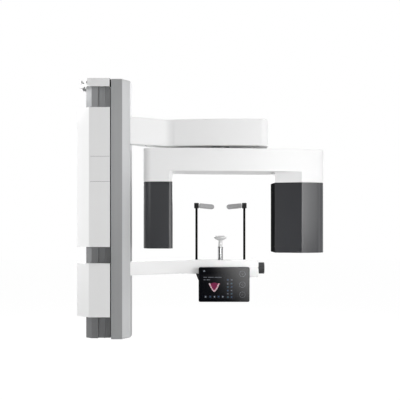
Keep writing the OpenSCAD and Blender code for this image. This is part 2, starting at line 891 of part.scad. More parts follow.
module column_bottom_cap() {
    r = gear_r + cap_notch_gap;
    color(alloy) slab(col_z0, col_z0 + end_cap_t) difference() {
        polygon(both_sides(lift_half()));
        nose_notch();
        translate([nose_x1, -r]) square([actuator_x - nose_x1, 2 * r]);
        translate([actuator_x, 0]) circle(r);
    }
}

module upper_arm_frame() {
    plate_z1 = shift_z1 + plate_t;
    color(alloy) difference() {
        union() {
            slab(shift_z1, plate_z1) upper_plan(frame_inset, lift_x1);
            slab(arm_z0 + base_t, shift_z1 + cut) intersection() {
                difference() {
                    polygon(neck_points(frame_inset, lift_x1));
                    polygon(neck_points(frame_inset + frame_rib, lift_x1 - cut));
                }
                translate([lift_x1, -arm_head_w]) square([axis_reach - arm_head_back, 3 * arm_head_w]);
            }
            slab(arm_z0 + base_t, plate_z1) intersection() {
                polygon(neck_points(arm_wall + 1, lift_x1));
                translate([lift_x1, -face_w]) square([frame_rib, 2 * face_w]);
            }
        }
        span([axis_x + motor_dx - motor_cut, axis_y - motor_cut - shift_travel, shift_z1 - cut],
             [axis_x + motor_dx + motor_cut, axis_y + motor_cut + shift_travel, plate_z1 + cut]);
    }
}

module upper_arm_cover() {
    color(white) difference() {
        slab(arm_z0 + base_t, arm_z1) upper_plan(0, lift_x1);
        slab(arm_z0, arm_z1 - arm_wall) upper_plan(arm_wall, lift_x1 - cut);
    }
}

// Bottom of the upper arm, with the slot in which the hub shifts
module upper_arm_base() {
    slot_r = hub_d / 2 + hub_room;
    color(white) difference() {
        slab(arm_z0, arm_z0 + base_t) upper_plan(0, lift_x1);
        slab(arm_z0 - cut, arm_z0 + base_t + cut) translate([axis_x, axis_y]) {
            for (y = [-shift_travel, shift_travel]) translate([0, y]) circle(slot_r);
            translate([-slot_r, -shift_travel]) square([2 * slot_r, 2 * shift_travel]);
        }
    }
}

module shift_rails() {
    color(steel) for (dx = [-shift_dx, shift_dx])
        span([axis_x + dx - guide_w / 2, axis_y - shift_rail_l / 2, shift_z0],
             [axis_x + dx + guide_w / 2, axis_y + shift_rail_l / 2, shift_z1]);
}

module shift_blocks() {
    half_l = shift_block_l / 2;
    half_w = shift_block_w / 2;
    color(charcoal) for (dx = [-shift_dx, shift_dx], dy = [-shift_block_dy, shift_block_dy])
        translate([axis_x + dx, axis_y + dy, 0]) difference() {
            span([-half_w, -half_l, carriage_z1], [half_w, half_l, shift_z1 - shift_block_set]);
            span([-guide_w / 2 - fit, -half_l - cut, shift_z0 - fit],
                 [guide_w / 2 + fit, half_l + cut, shift_z1]);
        }
}

module carriage_plate() {
    half_y = shift_block_dy + shift_block_l / 2 + plate_side;
    color(alloy) difference() {
        span([axis_x - shift_dx - shift_block_w / 2 - plate_edge, axis_y - half_y, ring_z1],
             [axis_x + motor_dx + motor_r + plate_edge, axis_y + half_y, carriage_z1]);
        translate([axis_x, axis_y, ring_z1 - cut])
            cylinder(h = carriage_z1 - ring_z1 + 2 * cut, r = hub_bore_r);
        translate([axis_x + motor_dx, axis_y, ring_z1 - cut])
            cylinder(h = carriage_z1 - ring_z1 + 2 * cut, r = shaft_r + shaft_room);
    }
}

module hub_bearing() {
    color(steel) translate([axis_x, axis_y, ring_z0]) difference() {
        cylinder(h = ring_z1 - ring_z0, r = ring_r);
        translate([0, 0, -cut]) cylinder(h = ring_z1 - ring_z0 + 2 * cut, r = hub_d / 2 + bearing_fit);
    }
}

module drive_motor() {
    color(charcoal) translate([axis_x + motor_dx, axis_y, carriage_z1]) difference() {
        cylinder(h = motor_z1 - carriage_z1, r = motor_r);
        translate([0, 0, -cut]) cylinder(h = motor_grip + 2 * cut, r = shaft_r + bearing_fit);
    }
}

module drive_pulley() {
    color(steel) translate([axis_x + motor_dx, axis_y, pulley_z0]) {
        cylinder(h = pulley_z1 - pulley_z0, r = pulley_r);
        cylinder(h = carriage_z1 + motor_grip - pulley_z0, r = shaft_r);
    }
}

module drive_belt() {
    color(black) translate([axis_x, axis_y, 0]) slab(pulley_z0 + belt_edge, pulley_z1 - belt_edge)
        difference() {
            belt_plan(driven_r + fit + belt_t, pulley_r + fit + belt_t, motor_dx);
            belt_plan(driven_r + fit, pulley_r + fit, motor_dx);
        }
}

// Hub of the gantry with its flange, bearing seat and driven pulley
module gantry_hub() {
    color(steel) translate([axis_x, axis_y, 0]) difference() {
        union() {
            translate([0, 0, frame_z1]) cylinder(h = hub_flange_h, r = hub_flange_r);
            translate([0, 0, frame_z1]) cylinder(h = ring_z1 - hub_room - frame_z1, r = hub_d / 2);
            translate([0, 0, pulley_z0]) cylinder(h = pulley_z1 - pulley_z0, r = driven_r);
        }
        translate([0, 0, frame_z1 - cut]) cylinder(h = ring_z1 - frame_z1 + 2 * cut, r = hub_bore_r);
    }
}

// Inner frame of the gantry: a long plate with a hanger at each end
module gantry_frame() {
    sensor_u = sensor_in + detector_gap + detector_t;
    color(alloy) on_gantry() difference() {
        union() {
            slab(frame_z0, frame_z1) lens_plan(gantry_lens, head_wall + frame_edge);
            span([tube_unit_u0 - hanger_t, -hanger_y, beam_mid_z], [tube_unit_u0, hanger_y, frame_z0 + cut]);
            span([sensor_u, -hanger_y, detector_z0], [sensor_u + hanger_t, hanger_y, frame_z0 + cut]);
        }
        translate([0, 0, frame_z0 - cut]) cylinder(h = frame_t + 2 * cut, r = hub_bore_r);
    }
}

// White cover of the gantry beam and of the upper end of both heads
module gantry_cover() {
    color(white) on_gantry() difference() {
        union() {
            difference() {
                slab(head_z1, beam_z1) lens_plan(gantry_lens);
                slab(head_z1 - cut, beam_z1 - head_wall) lens_plan(gantry_lens, head_wall);
                slab(head_z1 - cut, beam_z0) difference() {
                    translate([-tube_end, -beam_w]) square([tube_end + sensor_end, 2 * beam_w]);
                    tube_reach();
                    sensor_reach();
                }
            }
            slab(head_z1, beam_z0 + head_wall) intersection() {
                lens_plan(gantry_lens, head_wall / 2);
                union() {
                    difference() {
                        tube_reach();
                        tube_reach(head_wall);
                    }
                    difference() {
                        sensor_reach();
                        sensor_reach(head_wall);
                    }
                }
            }
        }
        translate([0, 0, beam_z1 - head_wall - cut])
            cylinder(h = head_wall + 2 * cut, r = hub_d / 2 + cover_fit);
    }
}

// Bottom of the gantry beam, between the two heads
module gantry_base() {
    color(white) on_gantry() slab(beam_z0, beam_z0 + head_wall) difference() {
        lens_plan(gantry_lens, head_wall + fit);
        tube_reach(-fit);
        sensor_reach(-fit);
        translate([sensor_in + base_reach, -beam_w]) square([sensor_end, 2 * beam_w]);
    }
}

module tube_cover() {
    color(charcoal) on_gantry() difference() {
        slab(tube_z0, head_z1) tube_plan();
        slab(tube_z0 + head_wall, head_z1 + cut) tube_plan(head_wall);
        span([tube_in - head_wall - cut, -tube_window_y, beam_mid_z - tube_window_h / 2],
             [tube_in + cut, tube_window_y, beam_mid_z + tube_window_h / 2]);
    }
}

// A window with a flange that lies on the inside of its wall; side is the way it looks
module window(wall_u, side, half_y, z0, z1) {
    inner_u = wall_u - side * head_wall;
    flange_u = inner_u - side * window_t;
    span([min(wall_u, inner_u), -half_y + fit, z0 + fit], [max(wall_u, inner_u), half_y - fit, z1 - fit]);
    span([min(flange_u, inner_u), -half_y - window_flange, z0 - window_flange],
         [max(flange_u, inner_u), half_y + window_flange, z1 + window_flange]);
}

module tube_window() {
    color(black) on_gantry() window(tube_in, 1, tube_window_y,
        beam_mid_z - tube_window_h / 2, beam_mid_z + tube_window_h / 2);
}

module tube_unit() {
    z0 = beam_mid_z - tube_unit_h / 2;
    color(steel) on_gantry()
        span([tube_unit_u0, -tube_unit_y, z0], [tube_unit_u0 + tube_unit_l, tube_unit_y, z0 + tube_unit_h]);
}

module collimator() {
    u0 = tube_unit_u0 + tube_unit_l;
    slot_y = 8;
    color(black) on_gantry() difference() {
        span([u0, -collimator_y, beam_mid_z - collimator_h / 2],
             [u0 + collimator_l, collimator_y, beam_mid_z + collimator_h / 2]);
        span([u0 - cut, -slot_y, beam_mid_z - collimator_h / 3],
             [u0 + collimator_l + cut, slot_y, beam_mid_z + collimator_h / 3]);
    }
}

module sensor_cover() {
    color(charcoal) on_gantry() difference() {
        slab(sensor_z0, head_z1) sensor_plan();
        slab(sensor_z0 + head_wall, head_z1 + cut) sensor_plan(head_wall);
        span([sensor_in - cut, -sensor_window_y, detector_z0],
             [sensor_in + head_wall + cut, sensor_window_y, detector_z1]);
    }
}

module sensor_window() {
    color(black) on_gantry() window(sensor_in, -1, sensor_window_y, detector_z0, detector_z1);
}

module detector_panel() {
    color(steel) on_gantry()
        span([sensor_in + detector_gap, -detector_y, detector_z0],
             [sensor_in + detector_gap + detector_t, detector_y, detector_z1]);
}

// Frame of the lower arm: floor, column flange, neck walls and bearing lugs of the screw
module lower_arm_frame() {
    inset = arm_wall + 1;
    wall_z1 = low_z1 - arm_wall - 1;
    color(alloy) difference() {
        union() {
            slab(low_z0 + low_base_t, floor_z1) polygon(low_points(inset, lift_x1));
            slab(low_z0 + low_base_t, wall_z1) intersection() {
                difference() {
                    polygon(low_points(inset, lift_x1));
                    polygon(low_points(inset + frame_rib, lift_x1 - cut));
                }
                translate([lift_x1, -low_w]) square([bend_run, 4 * low_w]);
            }
            slab(low_z0 + low_base_t, wall_z1) intersection() {
                polygon(low_points(inset, lift_x1));
                translate([lift_x1, -face_w]) square([frame_rib, 2 * face_w]);
            }
            for (dx = [-lug_dx, lug_dx - lug_t])
                span([axis_x + dx, screw_y - nut_r, floor_z1 - cut],
                     [axis_x + dx + lug_t, screw_y + nut_r, screw_z + nut_r]);
        }
        rod_x(axis_x - lug_dx - cut, axis_x + lug_dx + cut, screw_y, screw_z, screw_r + bearing_fit);
    }
}

module lower_arm_cover() {
    slot_r = temple_rod_d / 2 + 1;
    color(white) difference() {
        slab(low_z0 + low_base_t, low_z1) polygon(low_points(0, lift_x1));
        slab(low_z0, low_z1 - arm_wall) polygon(low_points(arm_wall, lift_x1 - cut));
        for (dx = [-temple_gap / 2, temple_gap / 2]) slab(low_z1 - arm_wall - cut, low_z1 + cut)
            translate([axis_x + dx, screw_y]) {
                for (x = [-temple_travel, temple_travel]) translate([x, 0]) circle(slot_r);
                translate([-temple_travel, -slot_r]) square([2 * temple_travel, 2 * slot_r]);
            }
        translate([axis_x, chin_y, low_z1 - arm_wall - cut])
            cylinder(h = arm_wall + 2 * cut, r = chin_post_d / 2 + cover_fit);
        rod_x(low_x1 - arm_wall - cut, low_x1 + cut, screw_y, screw_z, screw_r + cover_fit);
    }
}

module lower_arm_base() {
    color(white) slab(low_z0, low_z0 + low_base_t) polygon(low_points(0, lift_x1));
}

// End piece of the lower arm: a front lip and a shallow tray below the arm
module lower_arm_end() {
    color(white) union() {
        span([low_x1 - end_l, low_y0 - end_t, low_z0 - end_drop], [low_x1, low_y0, low_z0 + end_rise]);
        span([low_x1 - end_l, low_y0 - end_t, low_z0 - end_drop], [low_x1, low_y1, low_z0]);
    }
}

module chin_socket() {
    r = chin_post_d / 2 + chin_fit;
    z1 = low_z1 - arm_wall - cover_fit;
    color(charcoal) translate([axis_x, chin_y, floor_z1]) difference() {
        cylinder(h = z1 - floor_z1, r = r + chin_socket_wall);
        translate([0, 0, -cut]) cylinder(h = z1 - floor_z1 + 2 * cut, r = r);
    }
}

module chin_post() {
    color(steel) translate([axis_x, chin_y, chin_post_z0])
        cylinder(h = chin_post_z1 - chin_post_z0, r = chin_post_d / 2);
}

// Chin cup turned about the chin post: a neck, a domed underside and a shallow bowl in the crown
module chin_cup() {
    cup_r = chin_cup_w / 2;
    widest_z = chin_neck_h + chin_cup_h - chin_crown_h;
    under_h = widest_z - chin_neck_h + chin_under_sink;
    under_r = (cup_r * cup_r + under_h * under_h) / (2 * under_h);
    crown_r = (cup_r * cup_r + chin_crown_h * chin_crown_h) / (2 * chin_crown_h);
    bowl_z = chin_neck_h + chin_cup_h + chin_bowl_r - chin_bowl_h;
    color(pad_grey) translate([axis_x, chin_y, chin_post_z1]) rotate_extrude() difference() {
        union() {
            square([chin_neck_r, widest_z]);
            intersection() {
                translate([0, widest_z - under_h + under_r]) circle(under_r, $fn = 180);
                translate([0, widest_z + chin_crown_h - crown_r]) circle(crown_r, $fn = 180);
                square([cup_r, 2 * column_w]);
            }
        }
        translate([0, bowl_z]) circle(chin_bowl_r, $fn = 180);
        translate([-cup_r, -cut]) square([cup_r, 2 * column_w]);
    }
}

module temple_screw() {
    x1 = low_x1 + knob_gap + knob_l - knob_face;
    collar_x = axis_x + lug_dx + fit;
    color(steel) union() {
        rod_x(axis_x - lug_dx - screw_tail, x1, screw_y, screw_z, screw_r);
        rod_x(collar_x, collar_x + collar_t, screw_y, screw_z, collar_r);
    }
}

module temple_knob() {
    x0 = low_x1 + knob_gap;
    r = knob_d / 2;
    color(black) difference() {
        rod_x(x0, x0 + knob_l, screw_y, screw_z, r);
        rod_x(x0 - cut, x0 + knob_l - knob_face, screw_y, screw_z, screw_r);
        for (i = [0 : knob_grips - 1]) let (a = i * 360 / knob_grips)
            rod_x(x0 + grip_start, x0 + knob_l + cut, screw_y + (r + grip_out) * cos(a),
                  screw_z + (r + grip_out) * sin(a), grip_r);
    }
}

module temple_nut(dx) {
    color(black) difference() {
        span([axis_x + dx - nut_l / 2, screw_y - nut_r, screw_z - nut_r],
             [axis_x + dx + nut_l / 2, screw_y + nut_r, screw_z + nut_r]);
        rod_x(axis_x + dx - nut_l, axis_x + dx + nut_l, screw_y, screw_z, screw_r + 2 * bearing_fit);
    }
}

module temple_rod(dx) {
    color(black) translate([axis_x + dx, screw_y, screw_z + nut_r])
        cylinder(h = temple_rod_z1 - screw_z - nut_r, r = temple_rod_d / 2);
}

module temple_head(dx) {
    color(black) translate([axis_x + dx, screw_y, temple_rod_z1])
        linear_extrude(temple_head_h) rounded_plan(temple_head_w, temple_head_w, temple_head_corner);
}

// Pad that points from its head to the patient's temple; side is 1 on the left
module temple_pad(dx, side) {
    head_in = dx + side * (temple_head_w / 2 + pad_seat);
    color(pad_grey) translate([axis_x + head_in, screw_y, temple_rod_z1 + temple_head_h / 2])
        mirror([side > 0 ? 0 : 1, 0, 0]) rotate([0, pad_droop, pad_turn]) translate([0, pad_t / 2, 0])
            rotate([90, 0, 0]) linear_extrude(pad_t) {
                translate([0, -pad_h / 2]) square([pad_l - pad_h / 2, pad_h]);
                translate([pad_l - pad_h / 2, 0]) circle(pad_h / 2);
            }
}

module temple_nut_left() {
    temple_nut(-temple_gap / 2);
}

module temple_rod_left() {
    temple_rod(-temple_gap / 2);
}

module temple_head_left() {
    temple_head(-temple_gap / 2);
}

module temple_pad_left() {
    temple_pad(-temple_gap / 2, 1);
}

module temple_nut_right() {
    temple_nut(temple_gap / 2);
}

module temple_rod_right() {
    temple_rod(temple_gap / 2);
}

module temple_head_right() {
    temple_head(temple_gap / 2);
}

module temple_pad_right() {
    temple_pad(temple_gap / 2, -1);
}

// Bracket under the lower arm with the two inner hinge lugs of the panel
module panel_bracket() {
    low_left = bracket_left - bracket_slant;
    low_right = bracket_right - bracket_slant;
    color(black) difference() {
        union() {
            translate([panel_x, bracket_y1, low_z0]) rotate([90, 0, 0]) linear_extrude(bracket_y1 - bracket_y0)
                polygon([[-low_left, -bracket_drop], [low_right, -bracket_drop],
                         [bracket_right, 0], [-bracket_left, 0]]);
            for (dx = [-bracket_lug_dx, bracket_lug_dx - lug_w]) hinge_lug(panel_x + dx, bracket_y0 + cut);
        }
        rod_x(panel_x - panel_w / 2, panel_x + panel_w / 2, pin_y, pin_z, pin_r + bearing_fit);
    }
}

// Round hinge lug that reaches along Y to the piece that carries it
module hinge_lug(x, seat_y) {
    rod_x(x, x + lug_w, pin_y, pin_z, pin_lug_r);
    span([x, min(pin_y, seat_y), pin_z - pin_lug_r], [x + lug_w, max(pin_y, seat_y), pin_z + pin_lug_r]);
}

module panel_housing() {
    color(black) difference() {
        union() {
            translate([panel_x, panel_y1, (panel_z0 + panel_z1) / 2]) rotate([90, 0, 0])
                linear_extrude(panel_t) rounded_plan(panel_w, panel_h, panel_corner);
            for (dx = [-panel_lug_dx, panel_lug_dx - lug_w]) hinge_lug(panel_x + dx, panel_y1 - cut);
        }
        translate([panel_x, panel_y0 + glass_t, (panel_z0 + panel_z1) / 2]) rotate([90, 0, 0])
            linear_extrude(glass_t + cut) rounded_plan(panel_w - 2 * glass_border,
                panel_h - 2 * glass_border, panel_corner - glass_border);
        rod_x(panel_x - panel_w / 2, panel_x + panel_w / 2, pin_y, pin_z, pin_r + bearing_fit);
    }
}

module panel_glass() {
    edge = glass_border + fit;
    color([0.05, 0.06, 0.08]) translate([panel_x, panel_y0 + glass_t, (panel_z0 + panel_z1) / 2])
        rotate([90, 0, 0]) linear_extrude(glass_t)
            rounded_plan(panel_w - 2 * edge, panel_h - 2 * edge, panel_corner - edge);
}

module panel_pin() {
    half_l = panel_lug_dx + 2;
    color(steel) rod_x(panel_x - half_l, panel_x + half_l, pin_y, pin_z, pin_r);
}

wall_bracket_upper();
wall_bracket_lower();
fixed_rail();
rail_top_cap();
upper_cover();
service_panel();
lower_cover();
power_supply();
control_board();
guide_rails();
lift_actuator();
lift_column();
column_top_cap();
column_bottom_cap();
guide_blocks();
actuator_rod();
upper_arm_frame();
upper_arm_cover();
upper_arm_base();
shift_rails();
lower_arm_frame();
lower_arm_cover();
lower_arm_base();
lower_arm_end();
chin_socket();
panel_bracket();
carriage_plate();
shift_blocks();
hub_bearing();
drive_motor();
drive_belt();
drive_pulley();
gantry_hub();
gantry_frame();
gantry_cover();
gantry_base();
tube_cover();
tube_unit();
collimator();
tube_window();
sensor_cover();
detector_panel();
sensor_window();
temple_screw();
temple_knob();
temple_nut_left();
temple_rod_left();
temple_head_left();
temple_pad_left();
temple_nut_right();
temple_rod_right();
temple_head_right();
temple_pad_right();
chin_post();
chin_cup();
panel_housing();
panel_glass();
panel_pin();
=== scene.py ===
"""Looks of a wall-mounted dental cone-beam scanner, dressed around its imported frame."""

import json
import logging
import math
from dataclasses import dataclass, field
from enum import Enum
from typing import Any, Iterable, Optional, Sequence, Union

import bmesh
import bpy
from mathutils import Matrix, Vector
from mathutils.bvhtree import BVHTree

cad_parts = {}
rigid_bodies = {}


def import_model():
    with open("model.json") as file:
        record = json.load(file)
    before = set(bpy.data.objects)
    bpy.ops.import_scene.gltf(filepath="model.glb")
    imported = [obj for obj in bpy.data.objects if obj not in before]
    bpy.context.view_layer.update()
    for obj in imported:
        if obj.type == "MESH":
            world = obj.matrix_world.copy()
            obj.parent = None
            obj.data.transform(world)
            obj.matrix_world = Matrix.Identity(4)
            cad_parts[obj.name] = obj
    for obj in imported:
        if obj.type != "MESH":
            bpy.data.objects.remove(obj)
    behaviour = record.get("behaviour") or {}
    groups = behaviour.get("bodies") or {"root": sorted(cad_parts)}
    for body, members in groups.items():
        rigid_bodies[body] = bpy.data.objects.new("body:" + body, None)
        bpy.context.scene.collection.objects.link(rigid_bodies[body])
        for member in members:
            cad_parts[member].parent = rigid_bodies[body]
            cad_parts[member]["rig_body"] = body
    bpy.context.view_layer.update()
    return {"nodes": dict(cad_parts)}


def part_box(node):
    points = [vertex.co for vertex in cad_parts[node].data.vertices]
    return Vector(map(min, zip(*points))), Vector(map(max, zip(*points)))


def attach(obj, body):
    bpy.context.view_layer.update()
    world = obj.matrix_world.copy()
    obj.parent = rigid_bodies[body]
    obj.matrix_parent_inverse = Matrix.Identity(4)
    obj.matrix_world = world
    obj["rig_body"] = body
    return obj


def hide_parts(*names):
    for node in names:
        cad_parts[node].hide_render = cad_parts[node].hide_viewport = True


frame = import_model()
LOG = logging.getLogger("scanner")

MM = 0.001
MERGE = 0.005 * MM
SKIP = 0.01 * MM
FLAT_TURN = math.radians(0.05)
SMOOTH_TURN = math.radians(32)

Piece = bpy.types.Object
Shape = bmesh.types.BMesh
Colour = tuple[float, float, float]
Point = tuple[float, float, float]
Value = Union["Signal", float, Sequence[float]]

BLACK: Colour = (0.0, 0.0, 0.0)
WHITE: Colour = (1.0, 1.0, 1.0)


def rgba(colour: Colour, level: float = 1.0) -> tuple[float, float, float, float]:
    """A colour times a level, as the four channels of a colour socket."""
    red, green, blue = (min(1.0, channel * level) for channel in colour)
    return red, green, blue, 1.0


class Signal:
    """An output socket that takes part in arithmetic, one Math node for each operator."""

    def __init__(self, graph: "Graph", socket: bpy.types.NodeSocket) -> None:
        """Keeps the socket and the graph that it belongs to."""
        self.graph = graph
        self.socket = socket

    def math(self, operation: str, first: Value, second: Value = 0.0) -> "Signal":
        """Adds a Math node and gives its result."""
        return self.graph.node("ShaderNodeMath", {"operation": operation}, {0: first, 1: second})

    def __add__(self, other: Value) -> "Signal":
        """This value plus another."""
        return self.math("ADD", self, other)

    def __radd__(self, other: Value) -> "Signal":
        """Another value plus this one."""
        return self.math("ADD", other, self)

    def __sub__(self, other: Value) -> "Signal":
        """This value less another."""
        return self.math("SUBTRACT", self, other)

    def __rsub__(self, other: Value) -> "Signal":
        """Another value less this one."""
        return self.math("SUBTRACT", other, self)

    def __mul__(self, other: Value) -> "Signal":
        """This value times another."""
        return self.math("MULTIPLY", self, other)

    def __rmul__(self, other: Value) -> "Signal":
        """Another value times this one."""
        return self.math("MULTIPLY", other, self)

    def at_most(self, limit: float) -> "Signal":
        """This value, held at or below a limit."""
        return self.math("MINIMUM", self, limit)

    def eased(self, low: float, high: float) -> "Signal":
        """A smooth step, from 0 at the low value to 1 at the high one."""
        sockets = {0: self, 1: low, 2: high, 3: 0.0, 4: 1.0}
        return self.graph.node("ShaderNodeMapRange", {"interpolation_type": "SMOOTHSTEP"}, sockets)


class Graph:
    """A node tree, the one method that adds nodes to it, and the white that its rays see."""

    def __init__(self, tree: bpy.types.NodeTree) -> None:
        """Keeps the tree."""
        self.tree = tree

    def node(
        self,
        kind: str,
        settings: Optional[dict[str, Any]] = None,
        inputs: Optional[dict[Union[int, str], Any]] = None,
        output: Union[int, str] = 0,
    ) -> Signal:
        """Adds a node.

        Args:
            kind: The node's type.
            settings: Its properties, which are set first.
            inputs: Values or signals for its sockets, by name or number.
            output: The output that is wanted.

        Returns:
            That output as a signal.
        """
        made = self.tree.nodes.new(kind)
        for key, value in (settings or {}).items():
            setattr(made, key, value)
        for key, value in (inputs or {}).items():
            self.join(value, made.inputs[key])
        return Signal(self, made.outputs[output] if len(made.outputs) else None)

    def join(self, value: Any, socket: bpy.types.NodeSocket) -> None:
        """Links a signal to a socket, or sets the socket to a plain value.

        Args:
            value: The signal or the value.
            socket: The socket that takes it.
        """
        if isinstance(value, Signal):
            self.tree.links.new(value.socket, socket)
        else:
            socket.default_value = value

    def seen(self, depth: Signal, low: float, high: float) -> Signal:
        """How far a ray is shown plain white: all that the camera sees, and what mirrors show from behind.

        Args:
            depth: The ray's or the place's share of Y.
            low: The depth at which mirrored white starts.
            high: The depth at which it is full.

        Returns:
            The share, from 0 to 1.
        """
        path = self.node("ShaderNodeLightPath", output="Is Camera Ray")
        outputs = path.socket.node.outputs
        mirrored = Signal(self, outputs["Is Glossy Ray"]) + Signal(self, outputs["Is Transmission Ray"])
        return (path + mirrored * depth.eased(low, high)).at_most(1.0)


class Surface(Graph):
    """A material's tree, with a Principled shader at its end and places in Object coordinates."""

    def __init__(self, name: str) -> None:
        """Starts an empty material.

        Args:
            name: The material's name.
        """
        self.material = bpy.data.materials.new(name)
        self.material.use_nodes = True
        super().__init__(self.material.node_tree)
        self.tree.nodes.clear()
        self.shader = self.tree.nodes.new("ShaderNodeBsdfPrincipled")
        self.node("ShaderNodeOutputMaterial", inputs={"Surface": Signal(self, self.shader.outputs[0])})
        self.place = self.node("ShaderNodeTexCoord", output="Object")

    def set(self, **values: Value) -> None:
        """Sets or links the shader's sockets, each named with underscores for spaces."""
        for key, value in values.items():
            self.join(value, self.shader.inputs[key.replace("_", " ").title().replace("Ior", "IOR")])

    def noise(self, scale: float, detail: float = 2.0, stretch: Point = (1.0, 1.0, 1.0)) -> Signal:
        """Cloudy noise from 0 to 1 on the piece's own coordinates, with its spots for each metre."""
        place = self.node("ShaderNodeMapping", inputs={"Vector": self.place, "Scale": stretch})
        return self.node("ShaderNodeTexNoise", inputs={"Vector": place, "Scale": scale, "Detail": detail})

    def mix(self, share: Signal, low: Value, high: Value) -> Signal:
        """A colour between two, by the second one's share."""
        return self.node("ShaderNodeMix", {"data_type": "RGBA"}, {0: share, 6: low, 7: high}, 2)

    def tone(self, share: Signal, colour: Colour, spread: float) -> Signal:
        """A colour that is darker and lighter by place, each way by a spread."""
        return self.mix(share, rgba(colour, 1 - spread), rgba(colour, 1 + spread))

    def bump(self, height: Signal, strength: float, depth: float) -> None:
        """Presses a height from 0 to 1 into the surface, to a depth in metres."""
        sockets = {"Strength": strength, "Distance": depth, "Height": height}
        self.set(normal=self.node("ShaderNodeBump", inputs=sockets))


@dataclass(frozen=True)
class Finish:
    """A finish of the scanner, made once as a material."""

    name: str
    colour: Colour
    roughness: float

    def material(self) -> bpy.types.Material:
        """The material, which is built when it is first asked for.

        Returns:
            The material.
        """
        known = bpy.data.materials.get(self.name)
        if known:
            return known
        surface = Surface(self.name)
        surface.material.diffuse_color = rgba(self.colour)
        self.shade(surface)
        return surface.material

    def shade(self, surface: Surface) -> None:
        """Sets the shader's sockets; each kind of finish has its own."""
        raise NotImplementedError


@dataclass(frozen=True)
class Lacquer(Finish):
    """Sprayed paint on a moulded or folded cover: clouded tone and a fine orange peel."""

    peel: float = 0.05
    mottle: float = 0.012
    smear: float = 0.08
    shine: float = 0.5

    def shade(self, surface: Surface) -> None:
        """Clouds the colour and the gloss, and adds the orange peel.

        Args:
            surface: The material's tree.
        """
        cloud = surface.noise(scale=5.0, detail=4.0)
        smear = surface.noise(scale=26.0, detail=3.0, stretch=(1.0, 1.0, 0.35))
        peel = surface.noise(scale=620.0, detail=1.5)
        surface.set(
            base_color=surface.tone(cloud, self.colour, self.mottle),
            roughness=self.roughness + (smear - 0.5) * self.smear,
            specular_ior_level=self.shine,
        )
        surface.bump(peel, strength=self.peel, depth=0.25 * MM)


@dataclass(frozen=True)
class ExtrudedAlloy(Finish):
    """Anodised extrusion with fine drawn lines along its length, with painted shade toward its foot and painted
    light past its corner.
    """

    metal: float = 0.6
    # Painted shade: the share by which the colour darkens toward the foot.
    painted_foot_shade: float = 0.14
    # Painted light: how much lighter the faces past the corner are painted than the front.
    painted_flank_light: float = 0.0
    corner: float = 0.0
    line_pitch: float = 900.0
    edge: Colour = (0.32, 0.32, 0.32)
    # Heights between which the painted foot shade fades out.
    foot: float = -0.35
    head: float = 0.5
    blur: float = 0.5 * MM

    def shade(self, surface: Surface) -> None:
        """Draws die lines along Z, with painted shade that darkens the foot and painted light on the faces past
        the corner.

        Args:
            surface: The material's tree.
        """
        drawn = surface.noise(scale=self.line_pitch, detail=3.0, stretch=(1.0, 1.0, 0.004))
        bands = surface.noise(scale=60.0, detail=2.0, stretch=(1.0, 1.0, 0.01))
        cloud = surface.noise(scale=9.0, detail=3.0)
        lines = drawn * 0.5 + bands * 0.5
        split = surface.node("ShaderNodeSeparateXYZ", inputs={"Vector": surface.place}).socket.node.outputs
        across, height = Signal(surface, split["X"]), Signal(surface, split["Z"])
        # Painted shade and light: the colour darkens toward the foot, and the front is painted darker than the
        # faces past the corner.
        full = 1 + self.painted_flank_light
        level = height.eased(self.foot, self.head) * self.painted_foot_shade + (1 - self.painted_foot_shade)
        level = level * (across.eased(self.corner, self.corner + self.blur) * self.painted_flank_light + 1) * (1 / full)
        surface.set(
            base_color=surface.mix(level, rgba(BLACK), surface.tone(lines, rgba(self.colour, full)[:3], 0.05)),
            metallic=self.metal,
            specular_tint=rgba(self.edge),
            roughness=self.roughness + (cloud - 0.5) * 0.06 + (drawn - 0.5) * 0.1,
        )
        surface.bump(drawn, strength=0.05, depth=0.1 * MM)


@dataclass(frozen=True)
class GroundMetal(Finish):
    """Machined or ground metal with short tool marks in one direction."""

    marks: Point = (1.0, 0.03, 1.0)
    polish: float = 0.5

    def shade(self, surface: Surface) -> None:
        """Lays tool marks and faint handling stains on bare metal.

        Args:
            surface: The material's tree.
        """
        marks = surface.noise(scale=700.0, detail=2.0, stretch=self.marks)
        stain = surface.noise(scale=14.0, detail=4.0)
        surface.set(
            base_color=surface.tone(stain * 0.6 + marks * 0.4, self.colour, 0.07),
            metallic=1.0,
            roughness=self.roughness + (marks - 0.5) * 0.2 * (1 - self.polish) + (stain - 0.5) * 0.05,
        )
        surface.bump(marks, strength=0.06 * (1 - self.polish), depth=0.1 * MM)


@dataclass(frozen=True)
class Moulded(Finish):
    """Moulded plastic with a fine spark-eroded grain."""

    grain: float = 0.12
    pitch: float = 1400.0
    shine: float = 0.5

    def shade(self, surface: Surface) -> None:
        """Adds the grain and a slight change of tone and gloss.

        Args:
            surface: The material's tree.
        """
        cloud = surface.noise(scale=18.0, detail=3.0)
        grain = surface.noise(scale=self.pitch, detail=2.0)
        surface.set(
            base_color=surface.tone(cloud, self.colour, 0.06),
            roughness=self.roughness + (cloud - 0.5) * 0.1,
            specular_ior_level=self.shine,
        )
        surface.bump(grain, strength=self.grain, depth=0.15 * MM)


@dataclass(frozen=True)
class SoftSkin(Finish):
    """Soft satin skin of a pad or a chin cup, with a leathery grain."""

    cell: float = 520.0

    def shade(self, surface: Surface) -> None:
        """Lays a cell grain over the skin, with a little sheen at its edges.

        Args:
            surface: The material's tree.
        """
        cells = surface.node(
            "ShaderNodeTexVoronoi",
            {"feature": "SMOOTH_F1"},
            {"Vector": surface.place, "Scale": self.cell, "Smoothness": 0.6},
        )
        cloud = surface.noise(scale=30.0, detail=3.0)
        surface.set(
            base_color=surface.tone(cloud, self.colour, 0.03),
            roughness=self.roughness + (cloud - 0.5) * 0.08,
            sheen_weight=0.15,
        )
        surface.bump(cells, strength=0.08, depth=0.2 * MM)


